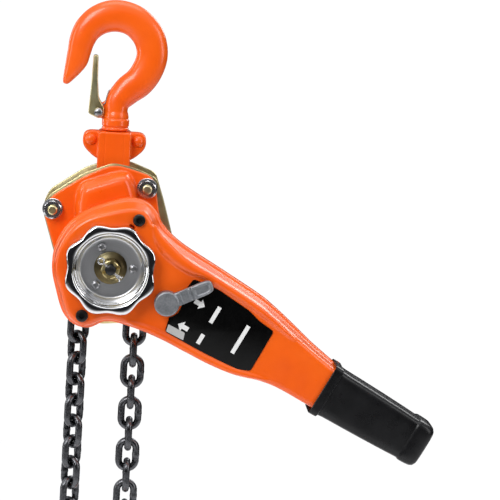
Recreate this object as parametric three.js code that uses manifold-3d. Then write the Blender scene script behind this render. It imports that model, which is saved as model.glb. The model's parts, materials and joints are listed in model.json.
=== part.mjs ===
// Lever chain hoist with a swivel hook above, a load chain below and a ratchet lever.
// Millimetres. Origin: inner top of the top hook's bowl, on the swivel axis. +X right, -Y front, +Z up.
import * as THREE from "three";
import { mergeVertices } from "three/addons/utils/BufferGeometryUtils.js";
import Module from "manifold-3d";

// Load chain: wire diameter, pitch (inner length of a link) and outer width.
const CHAIN_D = 6;
const CHAIN_PITCH = 18;
const CHAIN_WIDTH = 20.2;
const SHEAVE_LINKS = 8; // links per turn of the load sheave
const NODE_R = CHAIN_PITCH / (2 * Math.sin(Math.PI / SHEAVE_LINKS)); // radius of the joints between links
// Drive axis, top pin and the angles at which the body and the lever stand.
const HUB_X = 2;
const HUB_Z = -184.2;
const TOP_PIN_Z = -121;
const BODY_TILT = 15.4; // degrees, anticlockwise from the front
const LEVER_DROP = 27.5; // degrees below +X
// Layers along Y.
const PLATE_IN = 16;
const PLATE_OUT = 19;
const COVER_FRONT = -36;
const LEVER_BACK = -38;
const LEVER_SPLIT = -46;
const LEVER_FRONT = -69;
const WHEEL_FRONT = -83;
const CASE_BACK = 62;
const GAP = 0.3;
// Gear train: pinion to disc gears, disc gear pinions to load gear.
const PINION_TEETH = 12;
const DISC_TEETH = 30;
const DISC_PINION_TEETH = 12;
const LOAD_TEETH = 36;
const CENTRES = 26.25;
const DISC_ANGLE = 75; // degrees of the line through both disc gears, in the body
const MODULE_1 = (2 * CENTRES) / (PINION_TEETH + DISC_TEETH);
const MODULE_2 = (2 * CENTRES) / (DISC_PINION_TEETH + LOAD_TEETH);
// Hand wheel.
const WHEEL_R = 36;
const WHEEL_WAVE = 1.5;
const WHEEL_LOBES = 8;
const CUP_R = 28.8;
const CUP_FLOOR_R = 24.3;
// Strands below the drive axis.
const STRAND_TOP = 1; // first pitch step below the axis that has a link in line
const SWING_STEP = 3; // pitch step of the hinge of the hanging length
const LOAD_LINKS = 13;
const SLACK_LINKS = 13;
const SLACK_TWIST = 15; // degrees each link of the slack strand turns, up to 45

const rad = THREE.MathUtils.degToRad;
const wasm = await Module();
wasm.setup();

// ---- solids ----
function solid(geometry) {
  const g = geometry.index ? geometry.toNonIndexed() : geometry.clone();
  g.deleteAttribute("normal");
  g.deleteAttribute("uv");
  const merged = mergeVertices(g, 5e-3);
  const corners = merged.index.array;
  const kept = [];
  for (let i = 0; i < corners.length; i += 3) {
    const [a, b, c] = corners.slice(i, i + 3);
    if (a !== b && b !== c && c !== a) kept.push(a, b, c);
  }
  const triVerts = new Uint32Array(kept);
  const vertProperties = merged.attributes.position.array;
  const made = new wasm.Manifold(new wasm.Mesh({ numProp: 3, vertProperties, triVerts }));
  if (made.volume() > 0) return made;
  for (let i = 0; i < triVerts.length; i += 3) {
    [triVerts[i + 1], triVerts[i + 2]] = [triVerts[i + 2], triVerts[i + 1]];
  }
  return new wasm.Manifold(new wasm.Mesh({ numProp: 3, vertProperties, triVerts }));
}

function join(...parts) {
  return parts.reduce((a, b) => a.add(b));
}

function cut(body, ...tools) {
  return tools.reduce((a, b) => a.subtract(b), body);
}

// Outline in (x, z), extruded from y0 to y1. bevel rounds the front edge, the back edge or both.
function slab(shape, y0, y1, bevel = 0, steps = 1) {
  const g = new THREE.ExtrudeGeometry(shape, {
    depth: y1 - y0 - 2 * bevel,
    bevelEnabled: bevel > 0,
    bevelThickness: bevel,
    bevelSize: bevel,
    bevelOffset: -bevel,
    bevelSegments: steps,
    curveSegments: 6,
    steps: 1,
  });
  g.rotateX(Math.PI / 2);
  g.translate(0, y1 - bevel, 0);
  return solid(g);
}

function polygon(points) {
  return new THREE.Shape(points.map(([x, z]) => new THREE.Vector2(x, z)));
}

// Polygon with each corner rounded over the given length.
function rounded(points, r, segments = 1) {
  const shape = [];
  const n = points.length;
  for (let i = 0; i < n; i++) {
    const p = new THREE.Vector2(...points[i]);
    const before = new THREE.Vector2(...points[(i + n - 1) % n]);
    const after = new THREE.Vector2(...points[(i + 1) % n]);
    const a = before.clone().sub(p);
    const b = after.clone().sub(p);
    const ra = Math.min(r, 0.45 * a.length());
    const rb = Math.min(r, 0.45 * b.length());
    const start = p.clone().add(a.setLength(ra));
    const end = p.clone().add(b.setLength(rb));
    const curve = new THREE.QuadraticBezierCurve(start, p, end);
    shape.push(...curve.getPoints(segments));
  }
  return new THREE.Shape(shape);
}

function circle(r, segments = 24, x = 0, z = 0) {
  const points = [];
  for (let i = 0; i < segments; i++) {
    const t = (2 * Math.PI * i) / segments;
    points.push([x + r * Math.cos(t), z + r * Math.sin(t)]);
  }
  return polygon(points);
}

function disc(r, y0, y1, segments = 18, x = 0, z = 0) {
  return slab(circle(r, segments, x, z), y0, y1);
}

// Profile [r, y] turned about the Y axis, placed at (x, z).
function turned(profile, segments = 32, x = 0, z = 0) {
  const g = new THREE.LatheGeometry(profile.map(([r, y]) => new THREE.Vector2(r, y)), segments);
  g.translate(x, 0, z);
  return solid(g);
}

// Profile [r, z] turned about the Z axis.
function turnedZ(profile, segments = 12, x = 0, y = 0) {
  const g = new THREE.LatheGeometry(profile.map(([r, z]) => new THREE.Vector2(r, z)), segments);
  g.rotateX(Math.PI / 2);
  g.translate(x, y, 0);
  return solid(g);
}

function box(x0, x1, y0, y1, z0, z1) {
  const g = new THREE.BoxGeometry(x1 - x0, y1 - y0, z1 - z0);
  g.translate((x0 + x1) / 2, (y0 + y1) / 2, (z0 + z1) / 2);
  return solid(g);
}

// Oval section carried along a path in the XZ plane: stations [x, z, half width, half depth].
function swept(stations, sides = 8) {
  const position = [];
  const index = [];
  const n = stations.length;
  stations.forEach(([x, z, a, b], i) => {
    const p = stations[Math.max(i - 1, 0)];
    const q = stations[Math.min(i + 1, n - 1)];
    const along = new THREE.Vector2(q[0] - p[0], q[1] - p[1]).normalize();
    for (let k = 0; k < sides; k++) {
      const t = (2 * Math.PI * k) / sides;
      position.push(x - along.y * a * Math.cos(t), b * Math.sin(t), z + along.x * a * Math.cos(t));
    }
  });
  for (let i = 0; i < n - 1; i++) {
    for (let k = 0; k < sides; k++) {
      const a = i * sides + k;
      const b = i * sides + ((k + 1) % sides);
      index.push(a, b, a + sides, b, b + sides, a + sides);
    }
  }
  for (let k = 1; k < sides - 1; k++) {
    const end = (n - 1) * sides;
    index.push(0, k + 1, k);
    index.push(end, end + k, end + k + 1);
  }
  const g = new THREE.BufferGeometry();
  g.setAttribute("position", new THREE.Float32BufferAttribute(position, 3));
  g.setIndex(index);
  return solid(g);
}

// Spur gear: straight-sided teeth on the pitch radius.
function gearShape(teeth, module, phase = 0) {
  const pitch = (teeth * module) / 2;
  const outer = pitch + 0.7 * module;
  const root = pitch - 1.2 * module;
  const step = 360 / teeth;
  const points = [];
  for (let i = 0; i < teeth; i++) {
    const at = phase + i * step;
    const corners = [[root, -0.5], [outer, -0.1], [outer, 0.1]];
    for (const [r, t] of corners) {
      const angle = rad(at + t * step);
      points.push([r * Math.cos(angle), r * Math.sin(angle)]);
    }
  }
  return polygon(points);
}

const root = new THREE.Group();
root.name = "lever_chain_hoist";

function group(parent, x, y, z, turn = 0) {
  const g = new THREE.Group();
  g.position.set(x, y, z);
  g.rotation.y = rad(turn);
  parent.add(g);
  return g;
}

const LOOKS = {
  orange: { color: 0xff6a1f, roughness: 0.35, metalness: 0.1 },
  zinc: { color: 0xc9b05a, roughness: 0.35, metalness: 0.9 },
  chrome: { color: 0xd8dade, roughness: 0.12, metalness: 1 },
  steel: { color: 0x9a9ca0, roughness: 0.4, metalness: 1 },
  dark: { color: 0x44464a, roughness: 0.45, metalness: 0.9 },
  cast: { color: 0x8c8f94, roughness: 0.5, metalness: 0.8 },
  black: { color: 0x151515, roughness: 0.55, metalness: 0 },
  friction: { color: 0x4c4038, roughness: 0.9, metalness: 0 },
};

function add(parent, name, body, look) {
  const m = body.getMesh();
  const n = m.numProp;
  const v = new Float32Array(m.numVert * 3);
  for (let i = 0; i < m.numVert; i++) {
    v.set(m.vertProperties.subarray(i * n, i * n + 3), i * 3);
  }
  const g = new THREE.BufferGeometry();
  g.setAttribute("position", new THREE.BufferAttribute(v, 3));
  g.setIndex(new THREE.BufferAttribute(new Uint32Array(m.triVerts), 1));
  g.computeVertexNormals();
  const mesh = new THREE.Mesh(g, new THREE.MeshStandardMaterial(LOOKS[look]));
  mesh.name = name;
  parent.add(mesh);
  return mesh;
}

const hub = group(root, HUB_X, 0, HUB_Z);
const body = group(hub, 0, 0, 0, -BODY_TILT);
const lever = group(hub, 0, 0, 0, LEVER_DROP);

// ---- hooks ----
const HOOK_PATH = [
  [0, -72, 9.3, 9.3], [0, -64, 9.3, 9.3], [1.4, -56, 10.4, 8.6], [8.8, -47, 12, 8.2],
  [17.5, -39.5, 12.6, 8.2], [24, -29, 12.8, 8.2], [27, -16.5, 12.8, 8.2], [23.9, -3.5, 13, 8.2],
  [15.6, 6.7, 13, 8.2], [5.6, 12, 13, 8.2], [-6.5, 13.1, 13, 8.2], [-18, 9.1, 12.3, 8.2],
  [-27, 1.2, 11.4, 8], [-32, -8.4, 10.6, 8], [-33.6, -18.5, 10.2, 7.8], [-35, -27, 9.2, 7],
  [-38.2, -33.7, 6.9, 6], [-41, -39.8, 4.6, 4.6], [-42.3, -43.4, 2.2, 2.6],
];
const LATCH_PIN = [-14.3, -65.9];
const STEM_R = 7;
const HEAD_R = 10;

// Forged hook with collar, swivel stem and head, and a lug for the latch beside the neck.
function hookSolid() {
  const bowl = swept(HOOK_PATH);
  const shank = turnedZ([
    [0, -94], [HEAD_R, -94], [HEAD_R, -88.6], [STEM_R, -88.2], [STEM_R, -80.6],
    [10.6, -80.4], [11.2, -79], [11.2, -69], [9.6, -66], [0, -64],
  ]);
  const lug = slab(rounded([[-19, -66], [-16, -71], [-5, -71], [-5, -52], [-9.5, -57], [-15, -60]], 3), -3, 3);
  const pinHole = disc(2.2, -4, 4, 16, ...LATCH_PIN);
  return cut(join(bowl, shank, lug), pinHole);
}

// Spring latch: a channel with two cheeks round the lug and a narrow tongue up to the hook's point.
function latchSolid() {
  const side = rounded([
    [-23, -68], [-13, -71.5], [-9.6, -68], [-10.2, -62], [-13.5, -55],
    [-16, -40], [-16.8, -19], [-22.2, -19], [-22.6, -40],
  ], 2);
  const inner = polygon([[-21.6, -90], [-21.6, -58], [-20.9, -24], [-8, -20], [10, -30], [10, -90]]);
  const hole = disc(2.2, -9, 9, 16, ...LATCH_PIN);
  return cut(slab(side, -5.6, 5.6), slab(inner, -4.2, 4.2), hole);
}

function latchPinSolid() {
  const [x, z] = LATCH_PIN;
  return turned([[0, -9.4], [3.4, -9.2], [3.8, -8], [3.8, -6], [2, -5.9], [2, 5.9], [3.9, 6], [3.9, 8.8], [0, 9]], 10, x, z);
}

add(root, "top_hook", hookSolid(), "orange");
add(root, "top_latch", latchSolid(), "zinc");
add(root, "top_latch_pin", latchPinSolid(), "steel");

// ---- top yoke: two halves riveted together round the hook's stem ----
function yokeHalf(side, outline, core, pinZ, pinR, rivets, coreDepth) {
  const near = GAP / 2;
  const [e0, e1] = side < 0 ? [-5.5, -near] : [near, 5.5];
  const [c0, c1] = side < 0 ? [-coreDepth, -near] : [near, coreDepth];
  const ears = slab(rounded(outline, 5), e0, e1);
  const middle = slab(rounded(core, 4), c0, c1);
  const pocket = turnedZ([[0, -98], [HEAD_R + 0.6, -98], [HEAD_R + 0.6, -88], [STEM_R + 0.3, -88], [STEM_R + 0.3, -70], [0, -70]]);
  const pin = disc(pinR, -30, 30, 24, 0, pinZ);
  const holes = rivets.map(([x, z]) => disc(3.3, -9, 9, 16, x, z));
  return cut(join(ears, middle), pocket, pin, ...holes);
}

const TOP_RIVETS = [[-19.5, -88.4], [19.5, -88.4]];
const TOP_EARS = [[-26.6, -92], [-25, -81.2], [25, -81.2], [26.6, -92], [14, -105], [-14, -105]];
const TOP_CORE = [[-13.5, -81], [13.5, -81], [13.5, -124], [8, -133], [-8, -133], [-13.5, -124]];
add(root, "top_yoke_front", yokeHalf(-1, TOP_EARS, TOP_CORE, TOP_PIN_Z, 5.3, TOP_RIVETS, 14.5), "orange");
add(root, "top_yoke_rear", yokeHalf(1, TOP_EARS, TOP_CORE, TOP_PIN_Z, 5.3, TOP_RIVETS, 14.5), "orange");

function rivet(x, z, half = 5.5) {
  const h = half + 0.2;
  return turned([
    [0, -h - 3], [2.8, -h - 2.5], [4.9, -h], [3, -h], [3, h], [4.9, h], [2.8, h + 2.5], [0, h + 3],
  ], 10, x, z);
}
add(root, "top_yoke_rivet_left", rivet(...TOP_RIVETS[0]), "orange");
add(root, "top_yoke_rivet_right", rivet(...TOP_RIVETS[1]), "orange");

// ---- body: side plates, stays, covers ----
const PLATE = [
  [-46, 52], [-38, 62], [-6.2, 73.5], [18.8, 76.5], [33, 70], [51, 57], [52.7, 33], [53.4, 2],
  [51, -18], [48, -41], [32, -55], [0, -56], [-22, -52], [-35, -38], [-42, -15], [-44.3, 12],
];
const COVER = [
  [-45.4, 51], [-38, 60], [-9, 70.5], [14, 75], [24, 73.5], [50, 58], [47, 33], [47, 2],
  [49, -18], [46, -41], [31, -53], [0, -54], [-22, -50], [-34, -37], [-41, -15], [-43.3, 12],
];
const PIN_AT = [14.9, 61.5];
const STAYS = [[-37.3, 50.5], [41.5, 50.5], [37, -40]];
const STAY_NAMES = ["left", "right", "bottom"];
const stayHoles = STAYS.map(([x, z]) => disc(4.3, -30, 30, 12, x, z));
const pinHole = disc(5.3, -30, 30, 14, ...PIN_AT);

const plate = slab(rounded(PLATE, 8), PLATE_IN, PLATE_OUT);
const rearPlate = cut(plate, pinHole, disc(14.3, 10, 30, 20), ...stayHoles);
add(body, "side_plate_rear", rearPlate, "zinc");
const frontPlate = cut(slab(rounded(PLATE, 8), -PLATE_OUT, -PLATE_IN), pinHole, disc(14.3, -30, -10, 20), ...stayHoles);
add(body, "side_plate_front", frontPlate, "zinc");

const topPin = turned([
  [0, -21.5], [7, -21.3], [7, -19.3], [5, -19.2], [5, 19.2], [7, 19.3], [7, 21.3], [0, 21.5],
], 20, ...PIN_AT);
add(body, "top_pin", topPin, "steel");

// Cup outline of the brake cover: a round dome with a pocket above it for the upper pawl.
const POCKET = [[-21, 20], [-19, 46], [-12, 64], [27, 68], [31, 58], [31, 20]];
function coverDome(inset, y0, y1) {
  const scale = (43 - inset) / 43;
  const round = slab(circle(43 - inset, 32), y0, y1, 4, 1);
  const centre = [5, 44];
  const pocket = POCKET.map(([x, z]) => [centre[0] + (x - centre[0]) * scale, centre[1] + (z - centre[1]) * scale]);
  return join(round, slab(rounded(pocket, 8, 2), y0, y1, 3, 1));
}
const coverPlate = slab(rounded(COVER, 8), -22, -PLATE_OUT - GAP);
const domeSpace = cut(coverDome(2.4, COVER_FRONT + 2, -8), box(-80, 80, -PLATE_OUT + 4, 0, -80, 80));
const coverShell = cut(
  join(coverPlate, cut(coverDome(0, COVER_FRONT, -10), box(-80, 80, -20, 0, -80, 80))),
  domeSpace,
  disc(15, -50, 0, 28),
  disc(8, -25, 0, 20, ...PIN_AT),
  ...stayHoles,
);
add(body, "brake_cover", coverShell, "orange");

// Gear case: flanged pan that closes the gear train at the back.
const CASE = [
  [-30, 32], [-16, 46], [12, 50], [28, 46], [38, 30], [41, 4], [38, -20], [24, -42], [4, -50], [-16, -49],
  [-32, -36], [-38, -14], [-38, 8],
];
function scaled(points, k) {
  return points.map(([x, z]) => [x * k, z * k]);
}
const caseFlange = slab(rounded(COVER, 8), PLATE_OUT + GAP, 22);
const caseDome = slab(rounded(CASE, 9, 2), 12, CASE_BACK, 5, 1);
const caseSpace = slab(rounded(scaled(CASE, 0.94), 9, 2), 12, CASE_BACK - 3, 4, 1);
const trim = box(-80, 80, 0, PLATE_OUT + GAP, -80, 80);
const caseShell = cut(
  join(caseFlange, caseDome), caseSpace, trim, disc(8, 10, 25, 20, ...PIN_AT), ...stayHoles,
);
add(body, "gear_case", caseShell, "orange");

STAYS.forEach(([x, z], i) => {
  const bolt = turned([
    [0, -33], [3.4, -32.6], [3.9, -32], [3.9, -15.9], [6, -15.7], [6, 15.7], [3.9, 15.9], [3.9, 22.3],
    [7, 22.4], [7, 27], [0, 27.4],
  ], 12, x, z);
  add(body, "stay_bolt_" + STAY_NAMES[i], bolt, "steel");
  const washer = disc(7.8, -23.8, -22.3, 16, x, z);
  const hex = slab(circle(7.5, 6, x, z), -29.8, -23.8);
  add(body, "stay_nut_" + STAY_NAMES[i], cut(join(washer, hex), disc(4.2, -35, 0, 12, x, z)), "chrome");
});

const bearing = (y0, y1) => cut(disc(14, y0, y1, 20), disc(11.3, y0 - 1, y1 + 1, 20));
add(body, "sheave_bearing_front", bearing(-18.8, -14.5), "steel");
add(body, "sheave_bearing_rear", bearing(14.5, 18.8), "steel");

// Stripper block between the strands. It stays outside the circle that the chain over the sheave sweeps, 33 mm.
const STRIPPER = [[-19, -37], [-3, -36], [-1, -47], [-18, -48]];
const stripper = slab(rounded(STRIPPER, 2), -15.7, 15.7);
add(body, "chain_stripper", stripper, "steel");

// ---- brake: ratchet disc, two pawls, friction discs on the disc hub ----
function ratchetShape(teeth, outer, rootR) {
  const points = [];
  for (let i = 0; i < teeth; i++) {
    const a = (2 * Math.PI * i) / teeth;
    const b = (2 * Math.PI * (i + 0.85)) / teeth;
    points.push([outer * Math.cos(a), outer * Math.sin(a)]);
    points.push([rootR * Math.cos(b), rootR * Math.sin(b)]);
  }
  return polygon(points);
}
const RATCHET_R = 31;
add(body, "ratchet_disc", cut(slab(ratchetShape(18, RATCHET_R, 27), -31, -28), disc(12.6, -40, 0, 28)), "steel");

const PAWL_PIVOTS = [[16, 52], [-20.5, -30.5]];
const UPPER_PAWL = [[20, 57], [10, 57], [-4, 40], [-6, 32.4], [0, 33.5], [14, 45], [21, 49]];
const LOWER_PAWL = [[-25, -31], [-20.5, -33.8], [-10, -36], [2, -34.5], [1, -31.9], [-12, -32.2], [-19, -26.8]];
add(body, "brake_pawl_upper", slab(rounded(UPPER_PAWL, 3), -31, -27.5), "steel");
add(body, "brake_pawl_lower", slab(rounded(LOWER_PAWL, 2), -31, -27.5), "steel");

// ---- load sheave, gears ----
// Twisting of the links: flat links lie in the pockets, standing links run in the groove.
function linkSolid(d, sides = 5, steps = 4) {
  const bend = (CHAIN_WIDTH - CHAIN_D) / 2;
  const half = (CHAIN_PITCH + CHAIN_D) / 2 - bend;
  const centre = [];
  for (let i = 0; i <= steps; i++) {
    const t = (Math.PI * i) / steps;
    centre.push([bend * Math.cos(t), half + bend * Math.sin(t), Math.cos(t), Math.sin(t)]);
  }
  for (let i = 0; i <= steps; i++) {
    const t = Math.PI + (Math.PI * i) / steps;
    centre.push([bend * Math.cos(t), -half + bend * Math.sin(t), Math.cos(t), Math.sin(t)]);
  }
  const position = [];
  const index = [];
  centre.forEach(([x, z, nx, nz]) => {
    for (let k = 0; k < sides; k++) {
      const t = Math.PI + (2 * Math.PI * k) / sides;
      const r = d / 2;
      position.push(x + nx * r * Math.cos(t), r * Math.sin(t), z + nz * r * Math.cos(t));
    }
  });
  const n = centre.length;
  for (let i = 0; i < n; i++) {
    for (let k = 0; k < sides; k++) {
      const a = i * sides + k;
      const b = i * sides + ((k + 1) % sides);
      const c = ((i + 1) % n) * sides + k;
      const e = ((i + 1) % n) * sides + ((k + 1) % sides);
      index.push(a, c, b, b, c, e);
    }
  }
  const g = new THREE.BufferGeometry();
  g.setAttribute("position", new THREE.Float32BufferAttribute(position, 3));
  g.setIndex(index);
  return solid(g);
}
const LINK = linkSolid(CHAIN_D * 1.035);

// A hanging run of links from pitch step `from`, hanging from (x, 0). twist(i) is each link's turn.
function strand(x, from, count, twist) {
  const links = [];
  for (let i = from; i < from + count; i++) {
    const z = -CHAIN_PITCH * (i + 0.5);
    links.push(LINK.rotate([0, 0, twist(i)]).translate([x, 0, z]));
  }
  return join(...links);
}

const overSheave = [];
for (let i = 0; i < 4; i++) {
  const angle = 22.5 + 45 * i;
  const r = NODE_R * Math.cos(Math.PI / SHEAVE_LINKS);
  const turn = i % 2 ? 90 : 0;
  const link = LINK.rotate([0, 0, turn]).rotate([0, -angle, 0]);
  overSheave.push(link.translate([r * Math.cos(rad(angle)), 0, r * Math.sin(rad(angle))]));
}
const chainOver = join(...overSheave);
add(hub, "chain_over_sheave", chainOver, "dark");

const POCKET_R = 18.4;
const GROOVE_R = 10.6;
const sheaveBody = turned([
  [7.2, -22.8], [10.9, -22.8], [10.9, -13.6], [17, -13.4], [20.2, -11.8], [20.2, -4], [GROOVE_R, -3.9],
  [GROOVE_R, 3.9], [20.2, 4], [20.2, 11.8], [17, 13.4], [10.9, 13.6], [10.9, 24], [7.2, 24], [7.2, -22.8],
], 28);
const bays = [];
for (let i = 0; i < 4; i++) {
  const bay = box(17.6, 30, -10.8, 10.8, -15.8, 15.8);
  bays.push(bay.rotate([0, -67.5 - 90 * i, 0]));
}
const sheave = cut(sheaveBody, ...bays);
add(hub, "load_sheave", sheave, "steel");

const [dx, dz] = [Math.cos(rad(DISC_ANGLE)), Math.sin(rad(DISC_ANGLE))];
const loadGear = cut(slab(gearShape(LOAD_TEETH, MODULE_2, DISC_ANGLE + 5), 24.3, 30), disc(7.2, 0, 60, 24));
add(body, "load_gear", loadGear, "steel");

function discGear(sign) {
  const far = sign > 0 ? DISC_ANGLE + 180 : DISC_ANGLE;
  const big = slab(gearShape(DISC_TEETH, MODULE_1, far + 6), 32, 38);
  const small = slab(gearShape(DISC_PINION_TEETH, MODULE_2, far), 24.3, 32.5);
  const journals = disc(3, 20, 44, 16);
  return join(big, small, journals).translate([sign * CENTRES * dx, 0, sign * CENTRES * dz]);
}
add(body, "disc_gear_upper", discGear(1), "steel");
add(body, "disc_gear_lower", discGear(-1), "steel");

// ---- drive: shaft, disc hub, changeover gear, hand wheel and its fastening ----
const shaft = join(
  turned([
    [0, -80.5], [3.6, -80.2], [4.2, -79.4], [4.2, -62], [6, -61.5], [6, 46], [0, 46.4],
  ], 20),
  slab(gearShape(PINION_TEETH, MODULE_1, DISC_ANGLE), 31.6, 38.4),
);
const pinBore = disc(1.3, -8, 8, 10);
const SPLIT_TURN = -30; // degrees of the split pin across the shaft, from the front
const crossHole = pinBore.rotate([0, 0, 90]).rotate([0, -SPLIT_TURN, 0]).translate([0, -76.6, 0]);
add(body, "pinion_shaft", cut(shaft, crossHole.rotate([0, BODY_TILT, 0])), "steel");

add(body, "disc_hub", cut(turned([
  [6.3, -37.6], [12, -37.6], [12, -26], [22, -25.6], [22, -23.2], [6.3, -23.2], [6.3, -37.6],
], 20)), "steel");
const ring = (r0, r1, y0, y1) => cut(disc(r1, y0, y1, 20), disc(r0, y0 - 1, y1 + 1, 20));
add(body, "friction_disc_rear", ring(12.4, 21, -27.7, -26.3), "friction");
add(body, "friction_disc_front", ring(12.4, 21, -33.2, -31.3), "friction");

const changeover = cut(join(
  slab(gearShape(14, 3, 0), -61, -52),
  disc(13.5, -60, -39, 28),
), disc(6.3, -80, 0, 24));
add(hub, "changeover_gear", changeover, "steel");

function wheelOutline(r, wave) {
  const points = [];
  const n = 40;
  for (let i = 0; i < n; i++) {
    const t = (2 * Math.PI * i) / n;
    const at = r - wave * Math.cos(WHEEL_LOBES * t);
    points.push([at * Math.cos(t), at * Math.sin(t)]);
  }
  return polygon(points);
}
const rim = slab(wheelOutline(WHEEL_R, WHEEL_WAVE), WHEEL_FRONT, -70.6, 3, 1);
const cupOut = turned([[0, -64.5], [26, -64.5], [27.4, -66], [28.6, -75], [0, -75]], 28);
const cupIn = turned([
  [0, -67.5], [CUP_FLOOR_R, -67.5], [26.4, -71], [CUP_R, -80],
  [31.5, -90], [0, -90],
], 28);
const PIN_HEADS = [0, 115, 233];
const pinHoles = PIN_HEADS.map((a) => disc(2.8, -70, -60, 10, 18.2 * Math.cos(rad(a)), 18.2 * Math.sin(rad(a))));
const wheel = cut(join(rim, cupOut), cupIn, disc(9.2, -70, -60, 24), ...pinHoles);
add(hub, "handwheel", wheel, "chrome");

// Cam plate behind the wheel: its three pins come through the wheel's floor and are headed over.
const camPins = PIN_HEADS.map((a) => turned(
  [[0, -70.4], [2.6, -70.1], [3.5, -69], [3.5, -67.8], [2.3, -67.8], [2.3, -63], [0, -63]],
  10, 18.2 * Math.cos(rad(a)), 18.2 * Math.sin(rad(a)),
));
const camHoles = disc(9.2, -70, -60, 24);
add(hub, "cam_plate", cut(join(disc(23, -64.2, -61.3, 24), ...camPins), camHoles), "steel");

const dish = turned([
  [4.5, -67.6], [7.5, -67.8], [13.3, -67.8], [13.3, -69.4], [8.6, -71.2], [4.5, -71.4], [4.5, -67.6],
], 20);
add(hub, "spring_cover", dish, "zinc");

const slots = [];
for (let i = 0; i < 3; i++) {
  slots.push(box(-12, 12, -90, -74.9, -1.35, 1.35).rotate([0, 60 * i + SPLIT_TURN * -1, 0]));
}
const nut = cut(join(slab(circle(7.8, 6), -74, -71.7), disc(6.7, -78.2, -71.7, 24)), disc(4.45, -90, 0, 20), ...slots);
add(hub, "castle_nut", nut, "zinc");

const splitPin = join(
  disc(1, -9.6, 10, 8),
  ring(1.2, 2.6, -1, 1).rotate([90, 0, 0]).translate([0, -12, 0]),
).rotate([0, 0, 90]).rotate([0, -SPLIT_TURN, 0]).translate([0, -76.6, 0]);
add(hub, "split_pin", splitPin, "steel");

// ---- lever ----
const LEVER_BASE = [
  [-14, 54], [0, 58], [12, 54.5], [22, 47.5], [42, 43.5], [82, 41], [134, 37], [154, 34], [200, 25], [214, 22],
  [214, -18.6], [200, -19.5], [154, -23], [134, -24.5], [90, -31], [66, -33], [43, -36], [22, -42], [12, -54],
  [0, -58], [-13, -54], [-27, -41], [-39, -27], [-46, -10], [-46, 10], [-39, 27], [-27, 42],
];
const LEVER_FACE = [
  [-11, 50], [0, 53.5], [9, 50], [18, 42], [40, 36.5], [82, 34], [122, 31], [153, 27.5], [200, 21.5], [214, 20],
  [214, -16.6], [200, -17], [153, -20], [122, -24], [90, -27], [66, -29], [43, -31.5], [20, -38], [9, -50],
  [0, -53.5], [-11, -50], [-25, -37], [-37, -25], [-43.4, -10], [-43.4, 10], [-37, 25], [-25, 38],
];
function inward(points, d) {
  return points.map(([u, v], i) => {
    const n = points.length;
    const p = points[(i + n - 1) % n];
    const q = points[(i + 1) % n];
    const t = new THREE.Vector2(q[0] - p[0], q[1] - p[1]).normalize();
    return [u + t.y * d, v - t.x * d];
  }).map(([u, v]) => [Math.min(u, 211.4), v]);
}
const SELECTOR = [53, -1];
const LEVER_SCREWS = [[0, 45], [0, -45]];
const screwHoles = LEVER_SCREWS.map(([u, v]) => disc(3.3, -80, -30, 14, u, v));
const frontOuter = join(
  slab(polygon(LEVER_FACE), LEVER_FRONT, LEVER_SPLIT, 3, 1),
  slab(polygon(LEVER_BASE), -49.5, LEVER_SPLIT),
);
const frontInner = slab(polygon(inward(LEVER_FACE, 2.6)), LEVER_FRONT + 2.6, -40, 2, 1);
const bosses = LEVER_SCREWS.map(([u, v]) => disc(6, LEVER_FRONT + 2, LEVER_SPLIT, 16, u, v));
const frontShell = cut(
  join(cut(frontOuter, frontInner), ...bosses),
  disc(30, -80, -40, 28),
  disc(6.3, -80, -40, 20, ...SELECTOR),
  ...screwHoles,
);
add(lever, "lever_front", frontShell, "orange");

const rearOuter = slab(polygon(LEVER_BASE), LEVER_BACK - 7.6, LEVER_BACK, 1.6, 1);
const rearInner = slab(polygon(inward(LEVER_FACE, 2.6)), -52, LEVER_BACK - 2.6, 1.5, 1);
const rearShell = cut(
  rearOuter, rearInner, disc(14.2, -80, 0, 28), disc(4.3, -80, 0, 16, ...SELECTOR),
);
const rearBosses = LEVER_SCREWS.map(([u, v]) => disc(6, LEVER_BACK - 7.6, LEVER_BACK, 16, u, v));
add(lever, "lever_rear", cut(join(rearShell, ...rearBosses), ...screwHoles), "orange");

LEVER_SCREWS.forEach(([u, v], i) => {
  const screw = turned([
    [0, -71.6], [1.8, -71.8], [3.6, -72.4], [5, -71.4], [5, -69.2], [3, -69.2], [3, LEVER_BACK - 0.3], [0, LEVER_BACK - 0.2],
  ], 12, u, v);
  add(lever, i ? "lever_screw_lower" : "lever_screw_upper", screw, "black");
});

const LABEL = [[66, -25], [62, -8], [62, 8], [70, 28], [108, 28], [124, 22], [140, 22], [140, -16], [124, -17], [112, -23]];
const labelHole = disc(12.5, -80, -60, 28, ...SELECTOR);
add(lever, "lever_label", cut(slab(rounded(LABEL, 3), -69.9, -69.3), labelHole), "black");

// Grip: a moulded sleeve over the lever's end.
const GRIP = [[199, 24.5], [299, 20.5], [299, -18.5], [199, -21.5]];
const gripBody = slab(rounded(GRIP, 9, 3), -71.5, -35.5, 5, 2);
const SOCKET = [[190, 25.4], [201, 25.3], [214.6, 22.6], [214.6, -19.2], [201, -20], [190, -21]];
const gripHole = slab(polygon(SOCKET), LEVER_FRONT - 0.4, LEVER_BACK + 0.4);
add(lever, "grip", cut(gripBody, gripHole), "black");

// Selector: a lever on a stepped boss, with the changeover pawl on its shaft inside.
const ARM_ANGLE = 53;
const [su, sv] = SELECTOR;
const ARM = [[-3, 7], [14, 5], [39.5, 5.6], [39.5, -5.6], [14, -5], [-3, -7]];
const arm = slab(rounded(ARM, 4), -78, -73.4, 0.8, 1);
const selector = join(
  arm.rotate([0, -ARM_ANGLE, 0]),
  slab(circle(10.2, 20), -79, -70.4, 1.4, 1),
  disc(5.9, -71, -62, 20),
  disc(4, -63, -36.6, 16),
).translate([su, 0, sv]);
add(lever, "selector_lever", selector, "cast");

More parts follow.
